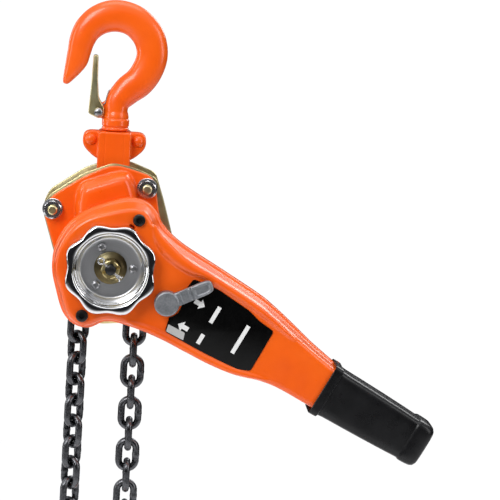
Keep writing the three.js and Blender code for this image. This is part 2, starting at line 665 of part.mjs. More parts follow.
const PAWL = [[-26, 3.5], [-26, 9.5], [-2, 9], [9, 5], [9, -5], [-2, -9], [-26, -9.5], [-26, -3.5], [-18, 0]];
const PAWL_REST = 10.6; // degrees from the middle, to the side of the selected direction
const pawl = cut(slab(rounded(PAWL, 1), -60.6, -52.6), disc(4.25, -70, 0, 16))
  .rotate([0, -PAWL_REST, 0]).translate([su, 0, sv]);
add(lever, "changeover_pawl", pawl, "steel");

// ---- strands ----
const LOAD_X = NODE_R;
const SLACK_X = -NODE_R;
const loadTwist = (i) => (i % 2 ? 0 : 90);
const slackTwist = (i) => {
  const steps = Math.min(Math.max(i - 1, 0), 45 / SLACK_TWIST);
  return (i % 2 ? 0 : 90) + SLACK_TWIST * steps;
};
const UPPER_LINKS = SWING_STEP - STRAND_TOP;
const HANG_GAP = 0.5;
add(hub, "load_chain_upper", strand(LOAD_X, STRAND_TOP, UPPER_LINKS, loadTwist), "dark");
add(hub, "slack_chain_upper", strand(SLACK_X, STRAND_TOP, UPPER_LINKS, slackTwist), "dark");
const LOAD_END = SWING_STEP + LOAD_LINKS - UPPER_LINKS;
const SLACK_END = SWING_STEP + SLACK_LINKS - UPPER_LINKS;
add(hub, "load_chain", strand(LOAD_X, SWING_STEP, LOAD_END - SWING_STEP, loadTwist).translate([0, 0, HANG_GAP]), "dark");
add(hub, "slack_chain", strand(SLACK_X, SWING_STEP, SLACK_END - SWING_STEP, slackTwist).translate([0, 0, HANG_GAP]), "dark");

// Stop ring on the last link of the slack strand.
const slackZ = -CHAIN_PITCH * SLACK_END;
const torus = new THREE.TorusGeometry(11.5, 2, 6, 16);
const ringTurn = slackTwist(SLACK_END - 1) + 90;
const endRing = solid(torus).rotate([90, 0, ringTurn]).translate([SLACK_X, 0, slackZ - 7.4]);
add(hub, "chain_end_ring", endRing, "steel");

// ---- bottom hook: yoke round the last link, hook hanging on its swivel ----
const loadZ = -CHAIN_PITCH * LOAD_END;
const bottom = group(hub, LOAD_X, 0, loadZ + HANG_GAP);
const flip = (s) => s.rotate([0, 180, 0]).translate([0, 0, -118]);
const BOTTOM_RIVETS = [[-18.6, -88.4], [18.6, -88.4]];
const BOTTOM_EARS = [[-25.6, -92], [-24, -81.2], [24, -81.2], [25.6, -92], [13, -105], [-13, -105]];
const BOTTOM_CORE = [[-13.2, -81], [13.2, -81], [13.2, -122], [8, -129], [-8, -129], [-13.2, -122]];
const CHAIN_PIN_Z = -121.5;
const throat = box(-11, 11, -3.6, 3.6, -131, -109);
for (const side of [-1, 1]) {
  const half = yokeHalf(side, BOTTOM_EARS, BOTTOM_CORE, CHAIN_PIN_Z, 3.3, BOTTOM_RIVETS, 14.5);
  add(bottom, side < 0 ? "bottom_yoke_front" : "bottom_yoke_rear", flip(cut(half, throat)), "orange");
}
add(bottom, "bottom_yoke_rivet_left", flip(rivet(...BOTTOM_RIVETS[1])), "orange");
add(bottom, "bottom_yoke_rivet_right", flip(rivet(...BOTTOM_RIVETS[0])), "orange");
add(bottom, "chain_pin", flip(turned([
  [0, -18], [5, -17.8], [5, -14.8], [3, -14.7], [3, 14.7], [5, 14.8], [5, 18], [0, 18.3],
], 16, 0, CHAIN_PIN_Z)), "steel");
add(bottom, "bottom_hook", flip(hookSolid()), "orange");
add(bottom, "bottom_latch", flip(latchSolid()), "zinc");
add(bottom, "bottom_latch_pin", flip(latchPinSolid()), "steel");

export default root;
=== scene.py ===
import json
import math

import bmesh
import bpy
from mathutils import Matrix, Vector

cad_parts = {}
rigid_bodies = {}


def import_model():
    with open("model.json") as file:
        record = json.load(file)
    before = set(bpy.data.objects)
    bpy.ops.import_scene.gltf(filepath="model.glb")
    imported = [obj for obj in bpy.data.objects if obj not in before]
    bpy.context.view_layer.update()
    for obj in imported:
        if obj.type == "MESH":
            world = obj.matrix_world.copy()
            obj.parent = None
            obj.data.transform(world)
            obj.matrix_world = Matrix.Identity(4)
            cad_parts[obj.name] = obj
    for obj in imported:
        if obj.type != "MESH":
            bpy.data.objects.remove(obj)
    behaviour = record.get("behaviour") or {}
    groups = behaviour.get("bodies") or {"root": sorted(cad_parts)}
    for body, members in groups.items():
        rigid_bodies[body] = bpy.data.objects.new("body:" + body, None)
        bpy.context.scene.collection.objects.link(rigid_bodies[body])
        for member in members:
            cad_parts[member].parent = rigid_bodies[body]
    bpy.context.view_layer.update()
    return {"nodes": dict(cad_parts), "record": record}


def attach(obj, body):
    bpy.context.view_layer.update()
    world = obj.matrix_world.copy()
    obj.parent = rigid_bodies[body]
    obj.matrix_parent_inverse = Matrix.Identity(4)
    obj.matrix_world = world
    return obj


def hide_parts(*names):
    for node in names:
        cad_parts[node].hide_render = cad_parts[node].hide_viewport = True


# A lever chain hoist: finer meshes, looks and light for the nodes of the CAD, in the part's own frame.
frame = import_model()

# ---- dimensions in millimetres, in the part's frame ----
HUB = (2.0, 0.0, -184.2)  # where the drive axis crosses the middle plane
TILT = math.radians(-15.4)  # the body's turn about the drive axis
DROP = math.radians(27.5)  # the lever's turn about the drive axis
MM = Matrix.Scale(0.001, 4)
WORLD = Matrix.Identity(4)
AT_HUB = Matrix.Translation(HUB)
BODY = AT_HUB @ Matrix.Rotation(TILT, 4, "Y")
LEVER = AT_HUB @ Matrix.Rotation(DROP, 4, "Y")
CHAIN_D, PITCH, CHAIN_W = 6.0, 18.0, 20.2
NODE_R = PITCH / (2 * math.sin(math.pi / 8))  # eight links go round the sheave at this radius
LINKS = 14  # links in a strand, counting the one left out at the sheave
LINK_LIFT = 0.5  # the hanging links sit this much higher, up into the ones above
HOOK_DROP = 118  # from the load strand's end down to the lower hook's own origin
STRAND_END = Matrix.Translation((HUB[0] + NODE_R, 0, HUB[2] - LINKS * PITCH + LINK_LIFT))
FOOT = STRAND_END @ Matrix.Translation((0, 0, -HOOK_DROP)) @ Matrix.Rotation(math.pi, 4, "Y")

# ---- materials ----
def material(name, colour, metal=0.0, rough=0.4, coat=0.0, spec=0.5):
    m = bpy.data.materials.new(name)
    m.use_nodes = True
    t = m.node_tree
    b = t.nodes["Principled BSDF"]
    b.inputs["Base Color"].default_value = (*colour, 1)
    b.inputs["Metallic"].default_value = metal
    b.inputs["Roughness"].default_value = rough
    b.inputs["Coat Weight"].default_value = coat
    b.inputs["Coat Roughness"].default_value = 0.08
    b.inputs["Specular IOR Level"].default_value = spec
    return m, t, b


def coords(t):
    return t.nodes.new("ShaderNodeTexCoord").outputs["Object"]


def noise(t, scale, detail=4.0, rough=0.55, source=None):
    n = t.nodes.new("ShaderNodeTexNoise")
    n.inputs["Scale"].default_value = scale
    n.inputs["Detail"].default_value = detail
    n.inputs["Roughness"].default_value = rough
    t.links.new(source or coords(t), n.inputs["Vector"])
    return n.outputs["Fac"]


def ramp(t, fac, stops):
    r = t.nodes.new("ShaderNodeValToRGB")
    r.color_ramp.elements[0].position = stops[0][0]
    r.color_ramp.elements[0].color = (*stops[0][1], 1)
    r.color_ramp.elements[1].position = stops[-1][0]
    r.color_ramp.elements[1].color = (*stops[-1][1], 1)
    for pos, colour in stops[1:-1]:
        e = r.color_ramp.elements.new(pos)
        e.color = (*colour, 1)
    t.links.new(fac, r.inputs["Fac"])
    return r.outputs["Color"]


def span(t, fac, low, high, source_low=0.0, source_high=1.0):
    r = t.nodes.new("ShaderNodeMapRange")
    r.inputs["From Min"].default_value = source_low
    r.inputs["From Max"].default_value = source_high
    r.inputs["To Min"].default_value = low
    r.inputs["To Max"].default_value = high
    t.links.new(fac, r.inputs["Value"])
    return r.outputs["Result"]


def mix(t, fac, a, b):
    m = t.nodes.new("ShaderNodeMix")
    m.data_type = "RGBA"
    t.links.new(fac, m.inputs["Factor"])
    # Sockets 6 and 7 are the node's two colours, and output 2 is its colour.
    for value, socket in ((a, m.inputs[6]), (b, m.inputs[7])):
        if isinstance(value, tuple):
            socket.default_value = (*value, 1)
        else:
            t.links.new(value, socket)
    return m.outputs[2]


def bump(t, b, height, strength, distance, under=None):
    n = t.nodes.new("ShaderNodeBump")
    n.inputs["Strength"].default_value = strength
    n.inputs["Distance"].default_value = distance
    t.links.new(height, n.inputs["Height"])
    if under is not None:
        t.links.new(under, n.inputs["Normal"])
    t.links.new(n.outputs["Normal"], b.inputs["Normal"])
    return n.outputs["Normal"]


def tint(t, b, fac, stops):
    t.links.new(ramp(t, fac, stops), b.inputs["Base Color"])


def polish(t, b, fac, low, high):
    t.links.new(span(t, fac, low, high), b.inputs["Roughness"])


def grey(value, blue=1.0):
    return value, value, value * blue


def edges(t, low, high):
    """Grows from low towards high on convex edges, where highlights are painted."""
    g = t.nodes.new("ShaderNodeNewGeometry")
    return span(t, g.outputs["Pointiness"], 0.0, 1.0, low, high)


def enamel():
    m, t, b = material("orange_enamel", (0.93, 0.13, 0.012), 0, 0.32, 0.3, 0.4)
    patches = noise(t, 22, 3)
    tone = ramp(t, patches, [(0.3, (0.86, 0.1, 0.003)), (0.55, (0.93, 0.122, 0.004)),
                             (0.8, (0.96, 0.14, 0.006))])
    # Painted highlight: a brighter orange on convex edges such as the beads' crests, broken up by noise.
    highlight_breakup = noise(t, 420, 6, 0.7)
    highlight_mask = t.nodes.new("ShaderNodeMath")
    highlight_mask.operation = "MULTIPLY"
    t.links.new(edges(t, 0.53, 0.6), highlight_mask.inputs[0])
    t.links.new(span(t, highlight_breakup, 0.0, 1.0, 0.5, 0.7), highlight_mask.inputs[1])
    t.links.new(mix(t, highlight_mask.outputs[0], tone, (1.0, 0.24, 0.03)), b.inputs["Base Color"])
    polish(t, b, noise(t, 60, 5), 0.22, 0.42)
    peel = bump(t, b, noise(t, 900, 2), 0.12, 0.0002)
    bump(t, b, noise(t, 120, 3), 0.22, 0.0006, peel)
    return m


YELLOW = ((0.52, 0.37, 0.16), (0.76, 0.63, 0.31), (0.66, 0.62, 0.37), (0.7, 0.5, 0.33))


def zinc(name="yellow_zinc_plate", tones=YELLOW):
    m, t, b = material(name, tones[1], 1, 0.33)
    hue = ramp(t, noise(t, 38, 5, 0.6), list(zip((0.25, 0.45, 0.6, 0.78), tones)))
    t.links.new(hue, b.inputs["Base Color"])
    polish(t, b, noise(t, 150, 5), 0.2, 0.48)
    bump(t, b, noise(t, 700, 3), 0.15, 0.0002)
    return m


def chrome():
    m, t, b = material("bright_chrome", (0.78, 0.785, 0.8), 1, 0.08)
    polish(t, b, noise(t, 90, 6, 0.6), 0.035, 0.17)
    tint(t, b, noise(t, 30, 4), [(0.3, (0.7, 0.705, 0.72)), (0.7, (0.84, 0.845, 0.86))])
    bump(t, b, noise(t, 160, 3), 0.1, 0.0004)
    return m


def wheel_chrome():
    """Chrome, but brushed inside the cup, within 26.5 mm of the wheel's axis."""
    m, t, b = material("wheel_chrome", (0.8, 0.805, 0.82), 1, 0.08)
    away = t.nodes.new("ShaderNodeVectorMath")
    away.operation = "SUBTRACT"
    t.links.new(coords(t), away.inputs[0])
    away.inputs[1].default_value = [c * 0.001 for c in HUB]
    flat = t.nodes.new("ShaderNodeVectorMath")
    flat.operation = "MULTIPLY"
    t.links.new(away.outputs["Vector"], flat.inputs[0])
    flat.inputs[1].default_value = (1, 0, 1)
    radius = t.nodes.new("ShaderNodeVectorMath")
    radius.operation = "LENGTH"
    t.links.new(flat.outputs["Vector"], radius.inputs[0])
    rings = t.nodes.new("ShaderNodeCombineXYZ")
    t.links.new(radius.outputs["Value"], rings.inputs["X"])
    brushed = noise(t, 2600, 3, 0.6, rings.outputs["Vector"])
    t.links.new(span(t, radius.outputs["Value"], 0.34, 0.07, 0.0255, 0.0275), b.inputs["Roughness"])
    tint(t, b, brushed, [(0.3, (0.6, 0.605, 0.62)), (0.7, (0.86, 0.865, 0.88))])
    bump(t, b, noise(t, 160, 3), 0.1, 0.0004)
    return m


def steel(name="machined_steel", tone=0.42, rough=(0.22, 0.5), grain=900):
    m, t, b = material(name, grey(tone, 1.03), 1, 0.35)
    tint(t, b, noise(t, 60, 6, 0.65), [(0.3, grey(tone * 0.72, 1.02)), (0.72, grey(tone * 1.15, 1.03))])
    polish(t, b, noise(t, 200, 5), *rough)
    bump(t, b, noise(t, grain, 4), 0.3, 0.0002)
    return m


def chain_steel():
    m, t, b = material("dark_chain_steel", (0.1, 0.1, 0.105), 1, 0.42)
    scale = [(0.3, (0.035, 0.036, 0.04)), (0.55, (0.1, 0.102, 0.11)), (0.8, (0.22, 0.223, 0.235))]
    tone = ramp(t, noise(t, 130, 6, 0.7), scale)
    # Painted highlight: a lighter grey on the links' convex edges.
    t.links.new(mix(t, edges(t, 0.52, 0.62), tone, (0.26, 0.262, 0.27)), b.inputs["Base Color"])
    polish(t, b, noise(t, 240, 5), 0.14, 0.42)
    grain = bump(t, b, noise(t, 1500, 4), 0.35, 0.0002)
    bump(t, b, noise(t, 260, 3), 0.4, 0.0006, grain)
    return m


def cast_zinc():
    m, t, b = material("die_cast_grey", (0.27, 0.28, 0.3), 0.75, 0.45)
    tint(t, b, noise(t, 260, 7, 0.7), [(0.3, (0.17, 0.18, 0.195)), (0.75, (0.36, 0.37, 0.39))])
    polish(t, b, noise(t, 180, 4), 0.34, 0.58)
    bump(t, b, noise(t, 1300, 4, 0.65), 0.5, 0.0003)
    return m


def rubber():
    m, t, b = material("black_grip_rubber", (0.008, 0.008, 0.009), 0, 0.25, 0, 0.28)
    tint(t, b, noise(t, 45, 5), [(0.3, (0.004, 0.004, 0.0045)), (0.75, (0.012, 0.012, 0.013))])
    polish(t, b, noise(t, 110, 5), 0.2, 0.38)
    fine = bump(t, b, noise(t, 1700, 3), 0.22, 0.0002)
    bump(t, b, noise(t, 90, 2), 0.12, 0.0006, fine)
    return m


def black(name, rough, tone, metal=0.0, spec=0.5):
    m, t, b = material(name, grey(tone), metal, 0.4, 0, spec)
    tint(t, b, noise(t, 150, 6, 0.7), [(0.3, grey(tone * 0.6)), (0.75, grey(tone * 1.9))])
    polish(t, b, noise(t, 220, 6), *rough)
    bump(t, b, noise(t, 800, 3), 0.12, 0.0002)
    return m


def ink(name, colour):
    m, t, b = material(name, colour, 0, 0.45)
    faded = tuple(c * 0.82 for c in colour)
    worn = span(t, noise(t, 900, 5, 0.7), 0, 1, 0.45, 0.8)
    t.links.new(mix(t, worn, colour, faded), b.inputs["Base Color"])
    bump(t, b, noise(t, 1200, 3), 0.1, 0.0001)
    return m


OLD_BRASS = ((0.07, 0.05, 0.025), (0.16, 0.125, 0.06), (0.13, 0.115, 0.065), (0.15, 0.1, 0.05))
# The record's material slots first, then the looks that only some pieces in a slot have.
LOOK = {
    "orange_paint": enamel(),
    "yellow_zinc": zinc(),
    "chrome": chrome(),
    "plain_steel": steel(),
    "dark_chain": chain_steel(),
    "cast_zinc": cast_zinc(),
    "black_rubber": rubber(),
    "black_steel": black("black_oxide_steel", (0.2, 0.42), 0.02, 0.6),
    "black_label": black("black_label_film", (0.14, 0.26), 0.002, 0, 0.16),
    "friction_lining": black("friction_lining", (0.7, 0.95), 0.09),
    "white_ink": ink("white_label_ink", (0.85, 0.85, 0.84)),
    "silver_ink": ink("silver_label_ink", (0.5, 0.5, 0.49)),
    "wheel_chrome": wheel_chrome(),
    "nut_zinc": steel("bright_zinc_nut", 0.78, (0.16, 0.26), 2600),
    "old_brass": zinc("old_brass_dish", OLD_BRASS),
}
for name, node in frame["nodes"].items():
    slot = next(s["material_slot"] for s in frame["record"]["subparts"] if s["node"] == name)
    node.data.materials.clear()
    node.data.materials.append(LOOK[slot])


# ---- mesh helpers, all in millimetres ----
def raw(name, verts, faces):
    me = bpy.data.meshes.new(name)
    me.from_pydata([tuple(v) for v in verts], [], faces)
    bm = bmesh.new()
    bm.from_mesh(me)
    bmesh.ops.remove_doubles(bm, verts=bm.verts, dist=1e-4)
    bmesh.ops.recalc_face_normals(bm, faces=bm.faces)
    bm.to_mesh(me)
    bm.free()
    ob = bpy.data.objects.new(name, me)
    bpy.context.scene.collection.objects.link(ob)
    return ob


def applied(ob):
    mesh = bpy.data.meshes.new_from_object(ob.evaluated_get(bpy.context.evaluated_depsgraph_get()))
    ob.modifiers.clear()
    old, ob.data = ob.data, mesh
    bpy.data.meshes.remove(old)
    return ob


def combine(kind, ob, *others):
    for other in others:
        m = ob.modifiers.new("b", "BOOLEAN")
        m.operation, m.object, m.solver = kind, other, "MANIFOLD"
        bpy.context.view_layer.update()
        applied(ob)
        bpy.data.objects.remove(other)
    return ob


def union(ob, *others):
    return combine("UNION", ob, *others)


def minus(ob, *others):
    return combine("DIFFERENCE", ob, *others)


def melted(ob, voxel, steps):
    """Remeshed and smoothed, so that its edges run into each other like a forging's or a pressing's."""
    m = ob.modifiers.new("r", "REMESH")
    m.mode, m.voxel_size = "VOXEL", voxel
    s = ob.modifiers.new("s", "SMOOTH")
    s.factor, s.iterations = 0.5, steps
    bpy.context.view_layer.update()
    return applied(ob)


def piece(ob, matrix, slot, body, *nodes, look=None, angle=38):
    """Finishes a mesh: placed by matrix, sharp above angle degrees, riding on body in place of nodes."""
    ob.data.transform(MM @ matrix)
    ob.data.materials.clear()
    ob.data.materials.append(LOOK[look or slot])
    ob.data.shade_smooth()
    ob.data.set_sharp_from_angle(angle=math.radians(angle))
    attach(ob, body)
    if nodes:
        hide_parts(*nodes)
    return ob


def loft(name, rings, loop=False):
    """A skin over rings with equal numbers of points, capped unless it loops back on itself."""
    verts = [v for r in rings for v in r]
    n, k = len(rings[0]), len(rings)
    faces = []
    for j in range(k if loop else k - 1):
        a, b = j * n, ((j + 1) % k) * n
        faces += [(a + i, a + (i + 1) % n, b + (i + 1) % n, b + i) for i in range(n)]
    if not loop:
        faces += [tuple(range(n)), tuple(range((k - 1) * n, k * n))]
    return raw(name, verts, faces)


def curve(points, per=6, closed=True):
    """Catmull-Rom through points of any dimension."""
    out, n = [], len(points)
    count = n if closed else n - 1
    for i in range(count):
        idx = [(i + d) % n if closed else min(max(i + d, 0), n - 1) for d in (-1, 0, 1, 2)]
        p0, p1, p2, p3 = (points[k] for k in idx)
        for s in range(per):
            u = s / per
            out.append(tuple(
                0.5 * (2 * b + (c - a) * u + (2 * a - 5 * b + 4 * c - d) * u * u
                       + (3 * b - a - 3 * c + d) * u ** 3)
                for a, b, c, d in zip(p0, p1, p2, p3)))
    if not closed:
        out.append(tuple(points[-1]))
    return out


def rounded(points, r, seg=6):
    """The outline with each corner rounded by r."""
    out, n = [], len(points)
    for i in range(n):
        p = Vector(points[i])
        a, b = Vector(points[i - 1]) - p, Vector(points[(i + 1) % n]) - p
        s = p + a.normalized() * min(r, 0.45 * a.length)
        e = p + b.normalized() * min(r, 0.45 * b.length)
        for k in range(seg + 1):
            u = k / seg
            q = s * (1 - u) ** 2 + p * 2 * u * (1 - u) + e * u * u
            out.append((q.x, q.y))
    return out


def inset(outline, d):
    """Moves each point of a clockwise or anticlockwise outline inwards by d."""
    n = len(outline)
    pairs = [(outline[i], outline[(i + 1) % n]) for i in range(n)]
    sign = 1 if sum(p[0] * q[1] - q[0] * p[1] for p, q in pairs) > 0 else -1
    out = []
    for i in range(n):
        t = Vector(outline[(i + 1) % n]) - Vector(outline[i - 1])
        if t.length < 1e-6:
            t = Vector((1, 0))
        t.normalize()
        out.append((outline[i][0] - sign * t.y * d, outline[i][1] + sign * t.x * d))
    return out


def ring(outline, y):
    return [(x, y, z) for x, z in outline]


def slab(name, outline, y0, y1, front=1.0, back=1.0, steps=4):
    """Outline in (x, z) between y0 and y1, with rounded front and back edges."""
    rings = []
    for i in range(steps + 1):
        a = math.pi / 2 * i / steps
        rings.append(ring(inset(outline, front * (1 - math.sin(a))), y0 + front * (1 - math.cos(a))))
    for i in range(steps + 1):
        a = math.pi / 2 * (1 - i / steps)
        rings.append(ring(inset(outline, back * (1 - math.sin(a))), y1 - back * (1 - math.cos(a))))
    return loft(name, rings)


def disc(r, y0, y1, x=0.0, z=0.0, seg=64):
    turns = [2 * math.pi * i / seg for i in range(seg)]
    outline = [(x + r * math.cos(a), z + r * math.sin(a)) for a in turns]
    return loft("cutter", [ring(outline, y0), ring(outline, y1)])


def hexagon(r, x=0.0, z=0.0, turn=0):
    turns = [math.radians(60 * i + turn) for i in range(6)]
    return [(x + r * math.cos(a), z + r * math.sin(a)) for a in turns]


def threaded(start, end, crest, root):
    """Profile of a thread of 1 mm pitch from start to end."""
    profile, y = [], start
    while y < end:
        profile += [(crest, y), (root, y + 0.5)]
        y += 1.0
    return profile


def turned(name, profile, x=0.0, z=0.0, seg=64, axis="Y", loop=False):
    """A profile of (radius, distance along the axis), turned about the Y or Z axis."""
    rings = []
    for r, y in profile:
        r = max(r, 0.0)
        pts = []
        for i in range(seg):
            a = 2 * math.pi * i / seg
            c, s = r * math.cos(a), r * math.sin(a)
            pts.append((x + c, y, z + s) if axis == "Y" else (x + c, z + s, y))
        rings.append(pts)
    return loft(name, rings, loop=loop)


def box(x0, x1, y0, y1, z0, z1):
    v = [(x, y, z) for x in (x0, x1) for y in (y0, y1) for z in (z0, z1)]
    f = [(0, 1, 3, 2), (4, 6, 7, 5), (0, 4, 5, 1), (2, 3, 7, 6), (0, 2, 6, 4), (1, 5, 7, 3)]
    return raw("cutter", v, f)


def torus(name, big, small, seg, sides):
    rings = []
    for i in range(seg):
        a = 2 * math.pi * i / seg
        c = Vector((math.cos(a), 0, math.sin(a)))
        turns = [2 * math.pi * k / sides for k in range(sides)]
        rings.append([tuple(c * (big + small * math.cos(b)) + Vector((0, small * math.sin(b), 0)))
                      for b in turns])
    return loft(name, rings, loop=True)


def wire(name, path, r, sides=12):
    """Round wire through 3D points, with domed ends."""
    pts = [Vector(p) for p in path]
    rings, up = [], Vector((0.13, 0.31, 0.94)).normalized()
    for i, p in enumerate(pts):
        t = (pts[min(i + 1, len(pts) - 1)] - pts[max(i - 1, 0)]).normalized()
        s = t.cross(up).normalized()
        u = s.cross(t)
        up = u
        turns = [2 * math.pi * k / sides for k in range(sides)]
        rings.append([tuple(p + (s * math.cos(a) + u * math.sin(a)) * r) for a in turns])
    return loft(name, rings)


# ---- hooks ----
# Stations along the hook: x, z, half width in the hook's plane, half thickness across it.
HOOK_PATH = [
    (0, -72, 9.3, 9.3), (0, -64, 9.3, 9.3), (1.4, -56, 10.4, 8.8), (8.8, -47, 12, 8.3),
    (17.5, -39.5, 12.6, 8.2), (24, -29, 12.8, 8.2), (27, -16.5, 12.8, 8.2), (23.9, -3.5, 13, 8.2),
    (15.6, 6.7, 13, 8.2), (5.6, 12, 13, 8.2), (-6.5, 13.1, 13, 8.2), (-18, 9.1, 12.3, 8.2),
    (-26.6, 1.2, 11.3, 8), (-30.9, -8.2, 10.4, 8), (-32.9, -18, 9.5, 7.6), (-34.5, -25.6, 8.9, 7),
    (-37.3, -32.8, 6.9, 6.2), (-40.2, -38.8, 4.7, 5), (-42, -42.6, 3.1, 3.6), (-42.9, -44.6, 1.6, 2),
]
LATCH_PIN = (-14.3, -65.9)


def hook(name):
    stations = curve(HOOK_PATH, 6, closed=False)
    rings = []
    for i, (x, z, a, b) in enumerate(stations):
        p, q = stations[max(i - 1, 0)], stations[min(i + 1, len(stations) - 1)]
        t = Vector((q[0] - p[0], q[1] - p[1])).normalized()
        # Towards the tip the sections are steadied to face nearly straight down.
        if i > 0.7 * len(stations):
            steady = min(1.0, (i / len(stations) - 0.7) / 0.12)
            t = t.lerp(Vector((-0.22, -1)), 0.7 * steady).normalized()
        pts = []
        for k in range(40):
            w = 2 * math.pi * k / 40
            c, s = math.cos(w), math.sin(w)
            c = math.copysign(abs(c) ** 0.86, c)
            s = math.copysign(abs(s) ** 0.92, s)
            pts.append((x - t.y * a * c, b * s, z + t.x * a * c))
        rings.append(pts)
    bowl = loft(name, rings)
    shank = turned("shank", [
        (0, -93.9), (9.9, -93.8), (9.9, -88.8), (7, -88.3), (7, -80.7), (10.4, -80.5), (11.2, -79.6),
        (11.3, -78.6), (10.2, -77.6), (10.2, -77.2), (11.2, -76.4), (11.2, -71.6), (10.3, -70.6),
        (10.2, -70.2), (10.6, -69.4), (10.2, -67), (9.4, -64.6), (9.2, -62), (0, -62),
    ], seg=64, axis="Z")
    lug = slab("lug", rounded([(-19, -66), (-16, -71), (-5, -71), (-4, -51), (-9.5, -57), (-15, -60)], 3),
               -3, 3, 0.8, 0.8)
    body = union(bowl, shank, lug)
    return melted(body, voxel=0.55, steps=3)


def latch(name):
    side = rounded([(-22.9, -67.5), (-13.8, -71.3), (-9.9, -68.6), (-9.8, -62.5), (-14.8, -54.5),
                    (-16.3, -40), (-16.9, -19.4), (-21, -19.4), (-21.6, -45)], 2.0)
    body = slab(name, side, -5.6, 5.6, 0.9, 0.9)
    inner = slab("cutter", [(-21.6, -90), (-20.4, -50), (-19.9, -22.5), (-8, -20), (10, -30), (10, -90)],
                 -4.3, 4.3, 0.1, 0.1)
    return minus(body, inner, disc(2.1, -9, 9, *LATCH_PIN, seg=32))


def latch_pin(name):
    x, z = LATCH_PIN
    head = turned(name, [(0, -9.3), (1.6, -9.2), (2.9, -8.8), (3.6, -8), (3.8, -7), (3.8, -6), (1.95, -5.9),
                         (1.95, 6), (3.9, 6), (3.9, 8.6), (0, 8.9)], x, z, seg=40)
    return minus(head, box(x - 4, x + 4, -10, -8.5, z - 0.5, z + 0.5))


def latch_spring(name):
    """Two and a half coils round the pin, with a leg on the latch and one on the hook."""
    x, z = LATCH_PIN
    coil = []
    for i in range(2, 61):
        a = 2 * math.pi * 2.5 * i / 60
        coil.append((x + 3.1 * math.cos(a), -4.05 + 0.8 * i / 60, z + 3.1 * math.sin(a)))
    on_latch = [(-20.2, -4.05, -50), (-18.9, -4.05, -60)]
    on_hook = [(-9.2, -3.9, -58), (-8.2, -3.7, -52), (-7.2, -3.2, -48.5), (-6.4, -2.2, -47.4)]
    return wire(name, on_latch + coil + on_hook, 0.42, 10)


HALF_GAP = 0.15  # from the middle plane to each half of a yoke


def yoke_half(name, side, ears, core, pin_z, pin_r, rivets, bottom=False):
    """One half of a yoke: thin riveted ears, a thick core round the shank, and a hole for the pin."""
    ear_depth, core_depth, sharp = 5.5, 14.5, 0.1

    def half(outline, depth, soft, label):
        if side < 0:
            return slab(label, outline, -depth, -HALF_GAP, soft, sharp)
        return slab(label, outline, HALF_GAP, depth, sharp, soft)

    body = union(half(rounded(ears, 7), ear_depth, 1.4, name),
                 half(rounded(core, 2.5), core_depth, 1.2, "core"))
    face = side * core_depth
    low = min(z for _, z in core)
    grooves = [box(x - 0.5, x + 0.5, face - 0.55, face + 0.55, low + 14, -80) for x in (-7.8, 7.8)]
    body = minus(body, *grooves)
    cuts = [disc(pin_r, -30, 30, 0, pin_z)]
    cuts += [disc(3.3, -9, 9, x, z, seg=32) for x, z in rivets]
    cuts.append(turned("cutter", [(0, -98), (10.6, -98), (10.6, -88), (7.4, -88), (7.4, -70), (0, -70)],
                       axis="Z"))
    if bottom:
        cuts.append(box(-11, 11, -3.6, 3.6, -131, -109))
    return melted(minus(body, *cuts), voxel=0.5, steps=3)


def rivet(name, x, z):
    h = 5.7  # half the thickness of both ears, with play
    dome = [(0, -h - 3), (1.4, -h - 2.85), (2.8, -h - 2.4), (4, -h - 1.5), (4.7, -h - 0.5), (4.8, -h)]
    return turned(name, dome + [(3, -h), (3, h)] + [(r, -y) for r, y in reversed(dome)], x, z, seg=40)


TOP_EARS = [(-26.6, -94), (-25.4, -81.2), (25.4, -81.2), (26.6, -94), (13.6, -105.5), (-13.6, -105.5)]
TOP_CORE = [(-13.5, -81), (13.5, -81), (13.5, -124), (8, -133), (-8, -133), (-13.5, -124)]
LOW_EARS = [(-25.6, -93), (-24, -81.2), (24, -81.2), (25.6, -93), (13, -105), (-13, -105)]
LOW_CORE = [(-13.2, -81), (13.2, -81), (13.2, -122), (8, -129), (-8, -129), (-13.2, -122)]


def hook_set(prefix, matrix, yoke_body, ears, core, pin_z, pin_r, rivet_x, mirror):
    hook_body = prefix + "_hook"
    piece(hook(prefix + "_hook_forging"), matrix, "orange_paint", hook_body, prefix + "_hook", angle=60)
    piece(latch(prefix + "_latch_strip"), matrix, "yellow_zinc", prefix + "_latch", prefix + "_latch")
    piece(latch_pin(prefix + "_latch_bolt"), matrix, "plain_steel", hook_body, prefix + "_latch_pin")
    piece(latch_spring(prefix + "_latch_spring"), matrix, "plain_steel", hook_body)
    rivets = [(-rivet_x, -88.4), (rivet_x, -88.4)]
    for side, word in ((-1, "front"), (1, "rear")):
        node = f"{prefix}_yoke_{word}"
        half = yoke_half(node + "_forging", side, ears, core, pin_z, pin_r, rivets, prefix == "bottom")
        piece(half, matrix, "orange_paint", yoke_body, node, angle=50)
    for (x, z), word in zip(rivets, ("right", "left") if mirror else ("left", "right")):
        node = f"{prefix}_yoke_rivet_{word}"
        piece(rivet(node + "_domed", x, z), matrix, "orange_paint", yoke_body, node)


hook_set("top", WORLD, "yoke", TOP_EARS, TOP_CORE, pin_z=-121, pin_r=5.3, rivet_x=19.5, mirror=False)
hook_set("bottom", FOOT, "load_hang", LOW_EARS, LOW_CORE, pin_z=-121.5, pin_r=3.3, rivet_x=18.6, mirror=True)

